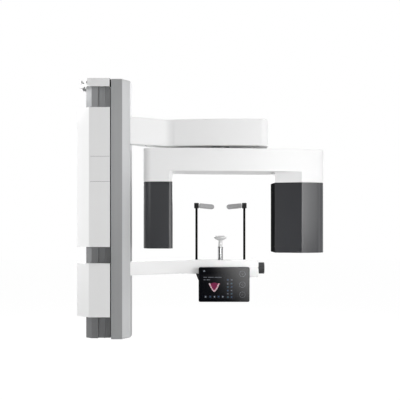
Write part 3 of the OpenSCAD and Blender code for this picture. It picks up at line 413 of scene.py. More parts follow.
@dataclass(frozen=True)
class CoverGlass(Finish):
    """Dark cover glass of the touch panel, with faint finger smears."""

    def shade(self, surface: Surface) -> None:
        """Keeps the glass glossy and lets smears take a little of the gloss.

        Args:
            surface: The material's tree.
        """
        smear = surface.noise(scale=34.0, detail=4.0, stretch=(1.0, 1.0, 0.5)).eased(0.52, 0.8)
        surface.set(
            base_color=surface.tone(smear, self.colour, 0.2),
            roughness=self.roughness + smear * 0.05,
            specular_ior_level=0.25,
        )


@dataclass(frozen=True)
class DisplayInk(Finish):
    """Lit shapes on the display, each with the colour in its own attribute."""

    attribute: str = "tint"
    glow: float = 0.55

    def shade(self, surface: Surface) -> None:
        """Reads the colour of each shape for its face and for its light.

        Args:
            surface: The material's tree.
        """
        ink = surface.node("ShaderNodeAttribute", {"attribute_name": self.attribute}, output="Color")
        surface.set(
            base_color=ink,
            emission_color=ink,
            emission_strength=self.glow,
            roughness=self.roughness,
            specular_ior_level=0.25,
        )


@dataclass(frozen=True)
class CircuitBoard(Finish):
    """Solder mask with copper lines that show through it."""

    copper: Colour = (0.10, 0.30, 0.15)

    def shade(self, surface: Surface) -> None:
        """Shows the copper as slightly raised lighter lines.

        Args:
            surface: The material's tree.
        """
        place = surface.node(
            "ShaderNodeMapping", inputs={"Vector": surface.place, "Rotation": (math.pi / 2, 0.0, 0.0)}
        )
        sockets = {"Vector": place, "Scale": 90.0, "Mortar Size": 0.02}
        lines = surface.node("ShaderNodeTexBrick", {"offset": 0.35}, sockets, "Fac")
        surface.set(
            base_color=surface.mix(lines, rgba(self.colour), rgba(self.copper)), roughness=self.roughness
        )
        surface.bump(lines, strength=0.1, depth=0.05 * MM)


class Slot(Enum):
    """The record's material slots, each with the finish that it takes here."""

    COVER_WHITE = Lacquer("white_lacquer", (0.87, 0.87, 0.87), 0.36)
    # The lift column's colour carries painted shade toward its foot and painted light on its flank past the
    # front corner.
    COLUMN_ALLOY = ExtrudedAlloy("drawn_alloy", (0.40, 0.404, 0.408), 0.46, painted_flank_light=0.7, corner=0.2211)
    FRAME_ALLOY = GroundMetal("milled_alloy", (0.62, 0.63, 0.64), 0.38, (1.0, 0.05, 1.0), 0.3)
    BRIGHT_STEEL = GroundMetal("ground_steel", (0.66, 0.67, 0.68), 0.22, (1.0, 1.0, 0.02), 0.6)
    CHROME = GroundMetal("polished_chrome", (0.27, 0.272, 0.275), 0.24, (1.0, 1.0, 0.02), 1.0)
    PAINTED_STEEL = Lacquer("powder_coat", (0.62, 0.63, 0.64), 0.55, peel=0.14)
    HEAD_CHARCOAL = Lacquer("charcoal_lacquer", (0.036, 0.037, 0.041), 0.24, 0.004, 0.03, 0.015)
    TRIM_CHARCOAL = Moulded("charcoal_moulding", (0.060, 0.060, 0.064), 0.5)
    BLACK_PLASTIC = Moulded("black_moulding", (0.007, 0.007, 0.0075), 0.5, shine=0.22)
    PANEL_BLACK = Lacquer("panel_lacquer", (0.010, 0.010, 0.012), 0.2, 0.01, 0.05, 0.03)
    PANEL_GLASS = CoverGlass("dark_glass", (0.002, 0.0025, 0.004), 0.06)
    GRIP_RUBBER = Moulded("ribbed_rubber", (0.032, 0.032, 0.034), 0.62, 0.2, 900.0)
    BELT_RUBBER = Moulded("belt_skin", (0.018, 0.018, 0.018), 0.75, 0.25, 700.0)
    PAD_GREY = SoftSkin("grey_skin", (0.34, 0.34, 0.345), 0.5)
    CUP_WHITE = SoftSkin("cup_skin", (0.70, 0.70, 0.70), 0.45)
    BOARD_GREEN = CircuitBoard("solder_mask", (0.03, 0.14, 0.06), 0.42)

    @property
    def finish(self) -> Finish:
        """The finish."""
        return self.value

    @property
    def key(self) -> str:
        """The slot's name in the record."""
        return self.name.lower()


# The rail's colour carries strong painted shade toward its foot.
RAIL_ALLOY = ExtrudedAlloy("rail_alloy", (0.30, 0.304, 0.31), 0.42, 0.36, 0.42)
WALL_WHITE = Lacquer("wall_lacquer", (0.78, 0.78, 0.78), 0.36)
TUBE_FACE = Lacquer("tube_face", (0.036, 0.037, 0.041), 0.2, 0.004, 0.03, 0.015, 1.0)
INNER_BLACK = Lacquer("inner_black", (0.020, 0.0205, 0.022), 0.7, 0.01, 0.03, 0.05, 0.0)
ROD_BLACK = Lacquer("rod_coat", (0.003, 0.003, 0.0033), 0.5, 0.004, 0.03, 0.02, 0.06)
# Black rubber of the service panel's seal, also used as painted shade on the cover ends in the gap to the lift
# column.
SEAL_AND_GAP_SHADE_BLACK = Moulded("seal_rubber_and_gap_shade", (0.012, 0.012, 0.012), 0.8, 0.1, 900.0, 0.1)
INK = DisplayInk("display_ink", (0.2, 0.2, 0.25), 0.08)


def body_of(node: str) -> str:
    """The body that a CAD node rides on."""
    return frame["nodes"][node]["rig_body"]


def linked(name: str, mesh: bpy.types.Mesh) -> Piece:
    """An object for a mesh, in the scene.

    Args:
        name: The object's name.
        mesh: The mesh.

    Returns:
        The object.
    """
    made = bpy.data.objects.new(name, mesh)
    bpy.context.scene.collection.objects.link(made)
    return made


def skin(name: str, shape: Shape, finish: Finish) -> Piece:
    """An object for a finished shape, which is freed.

    Args:
        name: The object's name.
        shape: The shape.
        finish: Its finish.

    Returns:
        The object, on no body yet.
    """
    mesh = bpy.data.meshes.new(name)
    shape.to_mesh(mesh)
    shape.free()
    mesh.materials.append(finish.material())
    return linked(name, mesh)


def accent(piece: Piece, finish: Finish, way: Vector, facing: float, beyond: float = -math.inf) -> None:
    """Gives the faces that look one way a finish of their own.

    Args:
        piece: The piece.
        finish: The finish of those faces.
        way: The way that they look.
        facing: How squarely they have to look that way, as a cosine.
        beyond: The place along X that they have to lie beyond.
    """
    piece.data.materials.append(finish.material())
    for face in piece.data.polygons:
        if face.normal.dot(way) > facing and face.center.x > beyond:
            face.material_index = 1


def settle(piece: Piece, body: str, replaces: Sequence[str] = ()) -> Piece:
    """Joins a finished piece to its body and hides the CAD nodes that it stands for.

    Args:
        piece: The piece.
        body: The CAD body that it rides on.
        replaces: The CAD nodes that it stands for.

    Returns:
        The piece.
    """
    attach(piece, body)
    if replaces:
        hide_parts(*replaces)
    LOG.info("%s rides on %s with %d faces", piece.name, body, len(piece.data.polygons))
    return piece


def baked(piece: Piece) -> Piece:
    """Turns what a piece's modifiers make into its plain mesh.

    Args:
        piece: The piece with live modifiers.

    Returns:
        The piece with none.
    """
    graph = bpy.context.evaluated_depsgraph_get()
    mesh = bpy.data.meshes.new_from_object(piece.evaluated_get(graph), depsgraph=graph)
    piece.modifiers.clear()
    spare = piece.data
    piece.data = mesh
    bpy.data.meshes.remove(spare)
    return piece


def paint(finish: Union[Slot, Finish], *nodes: str) -> None:
    """Gives carried-over CAD nodes their finish.

    Args:
        finish: The finish, or the slot that has it.
        nodes: The nodes' names.
    """
    wanted = finish.finish if isinstance(finish, Slot) else finish
    for node in nodes:
        mesh = frame["nodes"][node].data
        mesh.materials.clear()
        mesh.materials.append(wanted.material())
        LOG.info("%s keeps its solid, finished in %s", node, wanted.name)


@dataclass(frozen=True)
class EdgeBreak:
    """How the outer edges of a piece are rounded: a fillet, thinner where a wall is thin."""

    width: float
    segments: int = 3
    least_turn: float = math.radians(18)
    wall_share: float = 0.38
    reach: float = 1.0 * MM

    def merged(self, node: str) -> Shape:
        """A copy of a CAD node's mesh with its doubles merged and its flat faces joined.

        Args:
            node: The node's name.

        Returns:
            The copy.
        """
        shape = bmesh.new()
        shape.from_mesh(frame["nodes"][node].data)
        bmesh.ops.remove_doubles(shape, verts=shape.verts, dist=MERGE)
        bmesh.ops.dissolve_limit(shape, angle_limit=FLAT_TURN, verts=shape.verts, edges=shape.edges)
        shape.normal_update()
        return shape

    def wall(self, tree: BVHTree, start: Vector, aim: Vector) -> float:
        """How far the material reaches behind a point of the surface."""
        hit = tree.ray_cast(start + aim * SKIP, aim)
        return hit[3] if hit[3] is not None else self.width

    def weigh(self, shape: Shape) -> None:
        """Sets each sharp outer edge's share of the width.

        Args:
            shape: The merged copy.
        """
        weight = shape.edges.layers.float.new("bevel_weight_edge")
        tree = BVHTree.FromBMesh(shape)
        for edge in shape.edges:
            if len(edge.link_faces) != 2 or not edge.is_convex:
                continue
            if edge.calc_face_angle(0.0) < self.least_turn:
                continue
            near, far = (face.normal for face in edge.link_faces)
            middle = (edge.verts[0].co + edge.verts[1].co) / 2
            thickness = min(
                self.wall(tree, middle - far * self.reach, -near),
                self.wall(tree, middle - near * self.reach, -far),
            )
            edge[weight] = min(1.0, self.wall_share * thickness / self.width)

    def piece(self, node: str, slot: Slot, finish: Optional[Finish] = None) -> Piece:
        """A rounded piece that stands for a CAD node.

        Args:
            node: The node's name.
            slot: The record's slot for it.
            finish: Its finish, or none for the slot's own.

        Returns:
            The piece, on its body.
        """
        shape = self.merged(node)
        self.weigh(shape)
        made = skin(f"{node}_skin", shape, finish or slot.finish)
        known = made.data.attributes
        for spare in [row.name for row in known if row.name in ("custom_normal", "sharp_edge")]:
            known.remove(known[spare])
        bevel = made.modifiers.new("edge_break", "BEVEL")
        bevel.limit_method = "WEIGHT"
        bevel.width = self.width
        bevel.segments = self.segments
        bevel.use_clamp_overlap = True
        baked(made)
        smooth(made)
        return settle(made, body_of(node), [node])


def smooth(piece: Piece) -> None:
    """Shades a piece smooth, apart from its sharp edges, with its flat faces kept flat.

    Args:
        piece: The piece.
    """
    piece.data.shade_smooth()
    piece.data.set_sharp_from_angle(angle=SMOOTH_TURN)
    even = piece.modifiers.new("even_normals", "WEIGHTED_NORMAL")
    even.keep_sharp = True
    even.weight = 100
    baked(piece)


class Tree(Graph):
    """A Geometry Nodes tree with named inputs for its sizes."""

    def __init__(self, name: str, sizes: dict[str, Any], material: bpy.types.Material) -> None:
        """Starts a tree.

        Args:
            name: The tree's name.
            sizes: Its inputs' names and values.
            material: The finish that its last node sets.
        """
        super().__init__(bpy.data.node_groups.new(name, "GeometryNodeTree"))
        face = self.tree.interface
        face.new_socket(name="Geometry", in_out="INPUT", socket_type="NodeSocketGeometry")
        face.new_socket(name="Geometry", in_out="OUTPUT", socket_type="NodeSocketGeometry")
        self.values: dict[str, Any] = {}
        for key, value in {**sizes, "Finish": material}.items():
            kind = {int: "Int", float: "Float"}.get(type(value), "Material")
            socket = face.new_socket(name=key, in_out="INPUT", socket_type=f"NodeSocket{kind}")
            self.values[socket.identifier] = value
        self.given = self.tree.nodes.new("NodeGroupInput")

    def size(self, name: str) -> Signal:
        """One of the tree's inputs."""
        return Signal(self, self.given.outputs[name])

    def close(self, geometry: Signal) -> None:
        """Ends the tree: instances are made real and take the finish.

        Args:
            geometry: What the tree has made.
        """
        real = self.node("GeometryNodeRealizeInstances", inputs={"Geometry": geometry})
        dressed = self.node(
            "GeometryNodeSetMaterial", inputs={"Geometry": real, "Material": self.size("Finish")}
        )
        self.node("NodeGroupOutput", inputs={0: dressed})

    def grow(self, seed: Piece) -> Piece:
        """Runs the tree on an object and keeps the result as its mesh.

        Args:
            seed: The object whose points the tree reads.

        Returns:
            The object, with a plain mesh.
        """
        grown = seed.modifiers.new("grow", "NODES")
        grown.node_group = self.tree
        for key, value in self.values.items():
            grown[key] = value
        return baked(seed)


@dataclass(frozen=True)
class Fixing:
    """A place for a screw, and the way that its head looks."""

    at: Vector
    aim: Vector


@dataclass(frozen=True)
class SocketScrews:
    """Button-head socket screws, each on a fixing."""

    head_radius: float = 4.0 * MM
    head_height: float = 2.0 * MM
    socket_radius: float = 1.9 * MM
    socket_depth: float = 1.3 * MM
    sides: int = 28
    rim_share: float = 0.4
    crown_share: float = 0.72

    def tree(self, name: str, slot: Slot) -> Tree:
        """The tree that sets a head on each point.

        Args:
            name: The tree's name.
            slot: The screws' slot.

        Returns:
            The tree.
        """
        keys = ("head_radius", "head_height", "socket_radius", "socket_depth", "sides")
        sizes = {key.replace("_", " ").title(): getattr(self, key) for key in keys}
        tree = Tree(name, sizes, slot.finish.material())
        radius, height, hollow, depth, sides = (tree.size(key) for key in sizes)
        rim = height * self.rim_share
        foot = tree.node("GeometryNodeMeshCylinder", inputs={"Vertices": sides, "Radius": radius, "Depth": rim})
        crown = tree.node(
            "GeometryNodeMeshCone",
            inputs={
                "Vertices": sides,
                "Radius Top": radius * self.crown_share,
                "Radius Bottom": radius,
                "Depth": height - rim,
            },
        )
        head = tree.node("GeometryNodeMeshBoolean", {"operation": "UNION"})
        for part, rise in ((foot, rim * 0.5), (crown, rim)):
            tree.join(self.lifted(tree, part, rise), head.socket.node.inputs["Mesh 2"])
        hexagon = tree.node(
            "GeometryNodeMeshCylinder", inputs={"Vertices": 6, "Radius": hollow, "Depth": depth * 2.0}
        )
        cut = tree.node(
            "GeometryNodeMeshBoolean",
            {"operation": "DIFFERENCE"},
            {"Mesh 1": head, "Mesh 2": self.lifted(tree, hexagon, height)},
        )
        aim = tree.node("GeometryNodeInputNamedAttribute", {"data_type": "FLOAT_VECTOR"}, {"Name": "aim"})
        turn = tree.node("FunctionNodeAlignRotationToVector", {"axis": "Z"}, {"Vector": aim})
        heads = tree.node(
            "GeometryNodeInstanceOnPoints",
            inputs={"Points": tree.size("Geometry"), "Instance": cut, "Rotation": turn},
        )
        tree.close(heads)
        return tree

    def lifted(self, tree: Tree, shape: Signal, height: Value) -> Signal:
        """A shape moved up by a height."""
        place = tree.node("ShaderNodeCombineXYZ", inputs={"Z": height})
        return tree.node("GeometryNodeTransform", inputs={"Geometry": shape, "Translation": place})

    def place(self, name: str, body: str, slot: Slot, fixings: Iterable[Fixing]) -> Piece:
        """Sets screws on their fixings as one piece.

        Args:
            name: The piece's name.
            body: The body that they ride on.
            slot: Their slot.
            fixings: Their places.

        Returns:
            The piece.
        """
        fixings = list(fixings)
        mesh = bpy.data.meshes.new(name)
        mesh.from_pydata([f.at for f in fixings], [], [])
        aim = mesh.attributes.new("aim", "FLOAT_VECTOR", "POINT")
        for row, fixing in zip(aim.data, fixings):
            row.vector = fixing.aim
        made = self.tree(name, slot).grow(linked(name, mesh))
        made.data.set_sharp_from_angle(angle=SMOOTH_TURN)
        return settle(made, body)


UP, DOWN = Vector((0, 0, 1)), Vector((0, 0, -1))
BACK, RIGHT = Vector((0, 1, 0)), Vector((1, 0, 0))


def grid(xs: Sequence[float], ys: Sequence[float], z: float, aim: Vector) -> list[Fixing]:
    """Fixings at each crossing of a level grid, with their heads looking one way."""
    return [Fixing(Vector((x, y, z)), aim) for x in xs for y in ys]


@dataclass
class WallUnit:
    """The fixed column: rail, covers, top cap, brackets and what the covers hide."""

    cover_edge: EdgeBreak = EdgeBreak(2.2 * MM)
    panel_edge: EdgeBreak = EdgeBreak(0.8 * MM)
    rail_edge: EdgeBreak = EdgeBreak(0.7 * MM, 2)
    cap_edge: EdgeBreak = EdgeBreak(0.6 * MM, 2)
    bolt: SocketScrews = SocketScrews(8.0 * MM, 4.5 * MM, 4.0 * MM, 2.6 * MM)
    cap_screw: SocketScrews = SocketScrews()
    cap_screw_spread: float = 0.3
    cap_screw_share: float = 0.55
    bolt_spread: float = 15.0 * MM
    cover_wall: float = 3.0 * MM
    flange: float = 4.0 * MM
    seam: float = 0.9 * MM
    seal_rise: float = 0.05 * MM
    # Painted shade in the gap to the lift column: how far back and how squarely the blackened cover ends lie.
    gap_shade_band: float = 1.0 * MM
    gap_shade_facing: float = 0.9
    plate: float = 6.0 * MM

    def build(self) -> None:
        """Builds the covers and the rail, and finishes the parts behind them."""
        # The covers' and the top cap's ends in the gap to the lift column get painted shade.
        for node in ("upper_cover", "lower_cover"):
            self.shade_gap_edge(self.cover_edge.piece(node, Slot.COVER_WHITE, WALL_WHITE))
        self.shade_gap_edge(self.cap_edge.piece("rail_top_cap", Slot.COVER_WHITE, WALL_WHITE))
        self.panel_edge.piece("service_panel", Slot.COVER_WHITE, WALL_WHITE)
        self.seal()
        self.rail_edge.piece("fixed_rail", Slot.COLUMN_ALLOY, RAIL_ALLOY)
        paint(Slot.PAINTED_STEEL, "wall_bracket_upper", "wall_bracket_lower", "power_supply")
        paint(Slot.BOARD_GREEN, "control_board")
        paint(Slot.BRIGHT_STEEL, "guide_rails")
        paint(Slot.TRIM_CHARCOAL, "lift_actuator")
        self.dress()

    def shade_gap_edge(self, piece: Piece) -> None:
        """Paints shade on the edge that faces the lift column: its end faces in the gap take the black seal
        finish.
        """
        edge = max(vertex.co.x for vertex in piece.data.vertices) - self.gap_shade_band
        accent(piece, SEAL_AND_GAP_SHADE_BLACK, RIGHT, self.gap_shade_facing, edge)

    def seal(self) -> None:
        """Seals the service panel: black strips along its top and foot, white ones down its sides."""
        low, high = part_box("service_panel")
        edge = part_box("upper_cover")[1].x - self.cover_edge.width
        left, right = low.x + self.flange, high.x - self.flange
        foot, top = low.z + self.flange, high.z - self.flange
        level = [(left, edge, z, z + self.seam) for z in (foot, top - self.seam)]
        upright = [(x, x + self.seam, foot + self.seam, top - self.seam) for x in (left, right - self.seam)]
        for name, bars, finish, rise, slot in (
            ("service_seal", level, SEAL_AND_GAP_SHADE_BLACK, self.seal_rise, Slot.BELT_RUBBER),
            ("service_filler", upright, WALL_WHITE, -self.seal_rise, Slot.COVER_WHITE),
        ):
            shape = bmesh.new()
            front, back = low.y - rise, low.y + self.cover_wall / 2
            for x0, x1, z0, z1 in bars:
                self.bar(shape, Vector((x0, front, z0)), Vector((x1, back, z1)))
            settle(skin(name, shape, finish), "wall_unit")

    def bar(self, shape: Shape, low: Vector, high: Vector) -> None:
        """Adds a square strip between two corners."""
        place = Matrix.Translation((low + high) / 2) @ Matrix.Diagonal((*(high - low), 1.0))
        bmesh.ops.create_cube(shape, size=1.0, matrix=place)

    def dress(self) -> None:
        """Adds the wall bolts and the screws of the top cap."""
        bolts = []
        for node in ("wall_bracket_upper", "wall_bracket_lower"):
            low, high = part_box(node)
            face, middle = low.x + self.plate, (low.z + high.z) / 2
            bolts += [Fixing(Vector((face, y, middle)), RIGHT) for y in (-self.bolt_spread, self.bolt_spread)]
        self.bolt.place("wall_bolts", "wall_unit", Slot.BRIGHT_STEEL, bolts)
        low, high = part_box("rail_top_cap")
        across = (high.y - low.y) * self.cap_screw_spread
        along = low.x + (high.x - low.x) * self.cap_screw_share
        self.cap_screw.place(
            "top_cap_screws", "wall_unit", Slot.BRIGHT_STEEL, grid([along], [-across, across], high.z, UP)
        )


@dataclass
class LiftColumn:
    """The moving column, its end caps and its guides."""

    edge: EdgeBreak = EdgeBreak(0.9 * MM, 2)
    cap_edge: EdgeBreak = EdgeBreak(1.0 * MM, 2)
    screw: SocketScrews = SocketScrews(3.6 * MM, 1.8 * MM, 1.7 * MM, 1.2 * MM)
    screw_spread: float = 0.33
    screw_shares: tuple[float, float] = (0.3, 0.7)

    def build(self) -> None:
        """Builds the column and its caps, and finishes the guides."""
        self.edge.piece("lift_column", Slot.COLUMN_ALLOY)
        for node in ("column_top_cap", "column_bottom_cap"):
            self.cap_edge.piece(node, Slot.COLUMN_ALLOY)
        paint(Slot.TRIM_CHARCOAL, "guide_blocks")
        paint(Slot.BRIGHT_STEEL, "actuator_rod")
        self.dress()

    def dress(self) -> None:
        """Screws the caps to the column."""
        for node, aim in (("column_top_cap", UP), ("column_bottom_cap", DOWN)):
            low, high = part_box(node)
            middle = (low.y + high.y) / 2
            across = (high.y - low.y) * self.screw_spread
            face = high.z if aim is UP else low.z
            xs = [high.x - (high.x - low.x) * share for share in self.screw_shares]
            ys = [middle - across, middle + across]
            self.screw.place(f"{node}_screws", "lift", Slot.BRIGHT_STEEL, grid(xs, ys, face, aim))


@dataclass
class UpperArm:
    """The upper arm with the carriage, motor and belt inside it."""

    edge: EdgeBreak = EdgeBreak(2.5 * MM)
    base_edge: EdgeBreak = EdgeBreak(1.0 * MM, 2)
    screw: SocketScrews = SocketScrews(3.5 * MM, 1.6 * MM, 1.6 * MM, 1.1 * MM)
    screw_places: tuple[tuple[float, float], ...] = (
        (0.1, 0.2), (0.1, 0.33), (0.42, 0.5), (0.42, 0.82), (0.9, 0.5), (0.9, 0.8),
    )

    def build(self) -> None:
        """Builds the shell and its base, and finishes the drive inside."""
        self.edge.piece("upper_arm_cover", Slot.COVER_WHITE)
        self.base_edge.piece("upper_arm_base", Slot.COVER_WHITE)
        paint(Slot.FRAME_ALLOY, "upper_arm_frame", "carriage_plate")
        paint(Slot.BRIGHT_STEEL, "shift_rails", "hub_bearing", "drive_pulley")
        paint(Slot.TRIM_CHARCOAL, "shift_blocks", "drive_motor")
        paint(Slot.BELT_RUBBER, "drive_belt")
        self.dress()

    def dress(self) -> None:
        """Screws the base to the shell from below."""
        low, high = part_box("upper_arm_base")
        size = high - low
        fixings = [
            Fixing(Vector((low.x + u * size.x, low.y + v * size.y, low.z)), DOWN) for u, v in self.screw_places
        ]
        self.screw.place("upper_arm_screws", "lift", Slot.BRIGHT_STEEL, fixings)


@dataclass
class Gantry:
    """The turning gantry: beam, tube head and sensor head."""

    beam_edge: EdgeBreak = EdgeBreak(2.5 * MM)
    base_edge: EdgeBreak = EdgeBreak(0.8 * MM, 2)
    head_edge: EdgeBreak = EdgeBreak(1.8 * MM)
    turn: float = math.radians(5)
    tube_facing: float = 0.5
    sensor_facing: float = 0.96

    def build(self) -> None:
        """Builds the shells, with a finish of their own on the faces that look at the patient."""
        self.beam_edge.piece("gantry_cover", Slot.COVER_WHITE)
        self.base_edge.piece("gantry_base", Slot.COVER_WHITE)
        inward = Vector((math.cos(self.turn), math.sin(self.turn), 0))
        for node, way, finish, facing in (
            ("tube_cover", inward, TUBE_FACE, self.tube_facing),
            ("sensor_cover", -inward, INNER_BLACK, self.sensor_facing),
        ):
            accent(self.head_edge.piece(node, Slot.HEAD_CHARCOAL), finish, way, facing)
        paint(INNER_BLACK, "tube_window", "sensor_window")
        paint(Slot.BLACK_PLASTIC, "collimator")
        paint(Slot.PAINTED_STEEL, "tube_unit", "detector_panel")
        paint(Slot.FRAME_ALLOY, "gantry_frame")
        paint(Slot.BRIGHT_STEEL, "gantry_hub")


@dataclass
class LowerArm:
    """The lower arm that carries the patient supports and the touch panel."""

    edge: EdgeBreak = EdgeBreak(2.2 * MM)
    base_edge: EdgeBreak = EdgeBreak(0.8 * MM, 2)
    bracket_edge: EdgeBreak = EdgeBreak(1.2 * MM)
    screw: SocketScrews = SocketScrews(3.0 * MM, 1.5 * MM, 1.4 * MM, 1.0 * MM)
    screw_insets: tuple[float, float] = (12 * MM, 56 * MM)
    screw_shares: tuple[float, float] = (0.5, 0.93)

    def build(self) -> None:
        """Builds the shell, its end and its base, and finishes the frame."""
        for node in ("lower_arm_cover", "lower_arm_end"):
            self.edge.piece(node, Slot.COVER_WHITE)
        self.base_edge.piece("lower_arm_base", Slot.COVER_WHITE)
        self.bracket_edge.piece("panel_bracket", Slot.BLACK_PLASTIC)
        paint(Slot.FRAME_ALLOY, "lower_arm_frame")
        paint(Slot.TRIM_CHARCOAL, "chin_socket")
        self.dress()

    def dress(self) -> None:
        """Screws the base to the frame from below, along the near and far edges."""
        low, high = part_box("lower_arm_base")
        ys = [high.y - inset for inset in self.screw_insets]
        xs = [low.x + (high.x - low.x) * share for share in self.screw_shares]
        self.screw.place("lower_arm_screws", "lift", Slot.BRIGHT_STEEL, grid(xs, ys, low.z, DOWN))


@dataclass
class TemplePad:
    """A crowned soft pad on a temple head, rounded at its free end."""

    length: float = 77 * MM
    height: float = 24.5 * MM
    thickness: float = 8 * MM
    seat: float = 2.0 * MM
    droop: float = math.radians(5)
    turn: float = math.radians(15)
    crown: float = 0.55
    stations: int = 40
    around: int = 48
    squareness: float = 2.6
    seat_run: float = 0.06
    seat_share: float = 0.62
    tip_share: float = 0.25
    last_share: float = 0.9995

    def outline(self, share: float) -> tuple[float, float]:
        """Half the height and thickness at a share of the length.

        Args:
            share: The place along the pad, from the seat at 0 to the tip at 1.

        Returns:
            Half the height and half the thickness.
        """
        tip = self.height / 2
        left = (1 - share) * self.length
        round_end = math.sqrt(max(0.0, 1 - (1 - left / tip) ** 2)) if left < tip else 1.0
        seat_rise = math.sqrt(min(1.0, share / self.seat_run))
        seat_end = min(1.0, self.seat_share + (1 - self.seat_share) * seat_rise)
        swell = 1 - self.crown * 0.25 * (2 * share - 1) ** 2
        thin_end = self.tip_share + (1 - self.tip_share) * round_end
        return tip * round_end * seat_end, self.thickness / 2 * thin_end * seat_end * swell

    def ring(self, share: float) -> list[Vector]:
        """The points of one section.

        Args:
            share: The place along the pad.

        Returns:
            The points, in the pad's own frame.
        """
        tall, thick = self.outline(share)
        power = 2 / self.squareness
        points = []
        for step in range(self.around):
            angle = 2 * math.pi * step / self.around
            side, rise = math.cos(angle), math.sin(angle)
            points.append(Vector((
                share * self.length,
                math.copysign(abs(side) ** power, side) * thick,
                math.copysign(abs(rise) ** power, rise) * tall,
            )))
        return points

    def piece(self, name: str, place: Matrix) -> Piece:
        """Lofts the sections into a closed skin.

        Args:
            name: The piece's name.
            place: Where the pad sits.

        Returns:
            The piece, on no body yet.
        """
        shape = bmesh.new()
        shares = [0.5 - 0.5 * math.cos(math.pi * i / (self.stations - 1)) for i in range(self.stations)]
        rings = [[shape.verts.new(place @ p) for p in self.ring(min(s, self.last_share))] for s in shares]
        for first, second in zip(rings, rings[1:]):
            for i in range(self.around):
                j = (i + 1) % self.around
                shape.faces.new((first[i], first[j], second[j], second[i]))
        shape.faces.new(rings[0])
        shape.faces.new(rings[-1])
        bmesh.ops.recalc_face_normals(shape, faces=shape.faces)
        made = skin(name, shape, Slot.PAD_GREY.finish)
        made.data.shade_smooth()
        return made


@dataclass
class TempleSupport:
    """The temple rods with their heads and pads, and the knob that moves them."""

    knob_edge: EdgeBreak = EdgeBreak(0.8 * MM, 2)
    head_edge: EdgeBreak = EdgeBreak(2.0 * MM)
    pad: TemplePad = field(default_factory=TemplePad)
    fill: float = 0.95
    coat_depth: float = 0.8 * MM

    def build(self) -> None:
        """Builds the knob, the heads, the coated rods and the pads, and finishes the screw."""
        self.knob_edge.piece("temple_knob", Slot.GRIP_RUBBER)
        paint(Slot.BRIGHT_STEEL, "temple_screw")
        for side in ("left", "right"):
            self.head_edge.piece(f"temple_head_{side}", Slot.BLACK_PLASTIC)
            self.coat(f"temple_rod_{side}")
            paint(Slot.BLACK_PLASTIC, f"temple_nut_{side}")
            self.build_pad(side)

    def coat(self, node: str) -> None:
        """Lays the thick soft-touch coat over a rod.

        Args:
            node: The rod's node.
        """
        shape = EdgeBreak(self.coat_depth).merged(node)
        for vertex in shape.verts:
            vertex.co += Vector((vertex.normal.x, vertex.normal.y, 0)).normalized() * self.coat_depth
        made = skin(f"{node}_coat", shape, ROD_BLACK)
        smooth(made)
        settle(made, body_of(node), [node])

    def build_pad(self, side: str) -> None:
        """Builds the pad of one side against its head.

        Args:
            side: "left" or "right".
        """
        low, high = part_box(f"temple_head_{side}")
        way = 1 if side == "left" else -1
        face = high.x if way > 0 else low.x
        seat = Vector((face + way * self.pad.seat, (low.y + high.y) / 2, (low.z + high.z) / 2))
        turned = Matrix.Rotation(self.pad.turn, 4, "Z") @ Matrix.Rotation(self.pad.droop, 4, "Y")
        place = Matrix.Translation(seat) @ Matrix.Diagonal((way, 1, 1, 1)) @ turned
        piece = self.pad.piece(f"temple_cushion_{side}", place)
        settle(piece, body_of(f"temple_pad_{side}"), [f"temple_pad_{side}"])


@dataclass
class ChinRest:
    """The chin cup on its sliding post."""

    cup_edge: EdgeBreak = EdgeBreak(1.6 * MM, 3, math.radians(30))

    def build(self) -> None:
        """Rounds the cup and polishes the post."""
        self.cup_edge.piece("chin_cup", Slot.CUP_WHITE)
        paint(Slot.CHROME, "chin_post")


class Ink(Enum):
    """Colours of the display's own shapes."""

    NAVY = (0.0012, 0.0014, 0.0024)
    SLATE = (0.016, 0.018, 0.024)
    GREY = (0.075, 0.08, 0.09)
    PALE = (0.17, 0.185, 0.205)
    BLUE = (0.02, 0.045, 0.095)
    CYAN = (0.03, 0.07, 0.09)
    ROSE = (0.42, 0.22, 0.26)
    MAGENTA = (0.11, 0.010, 0.038)
    IVORY = (0.42, 0.35, 0.37)


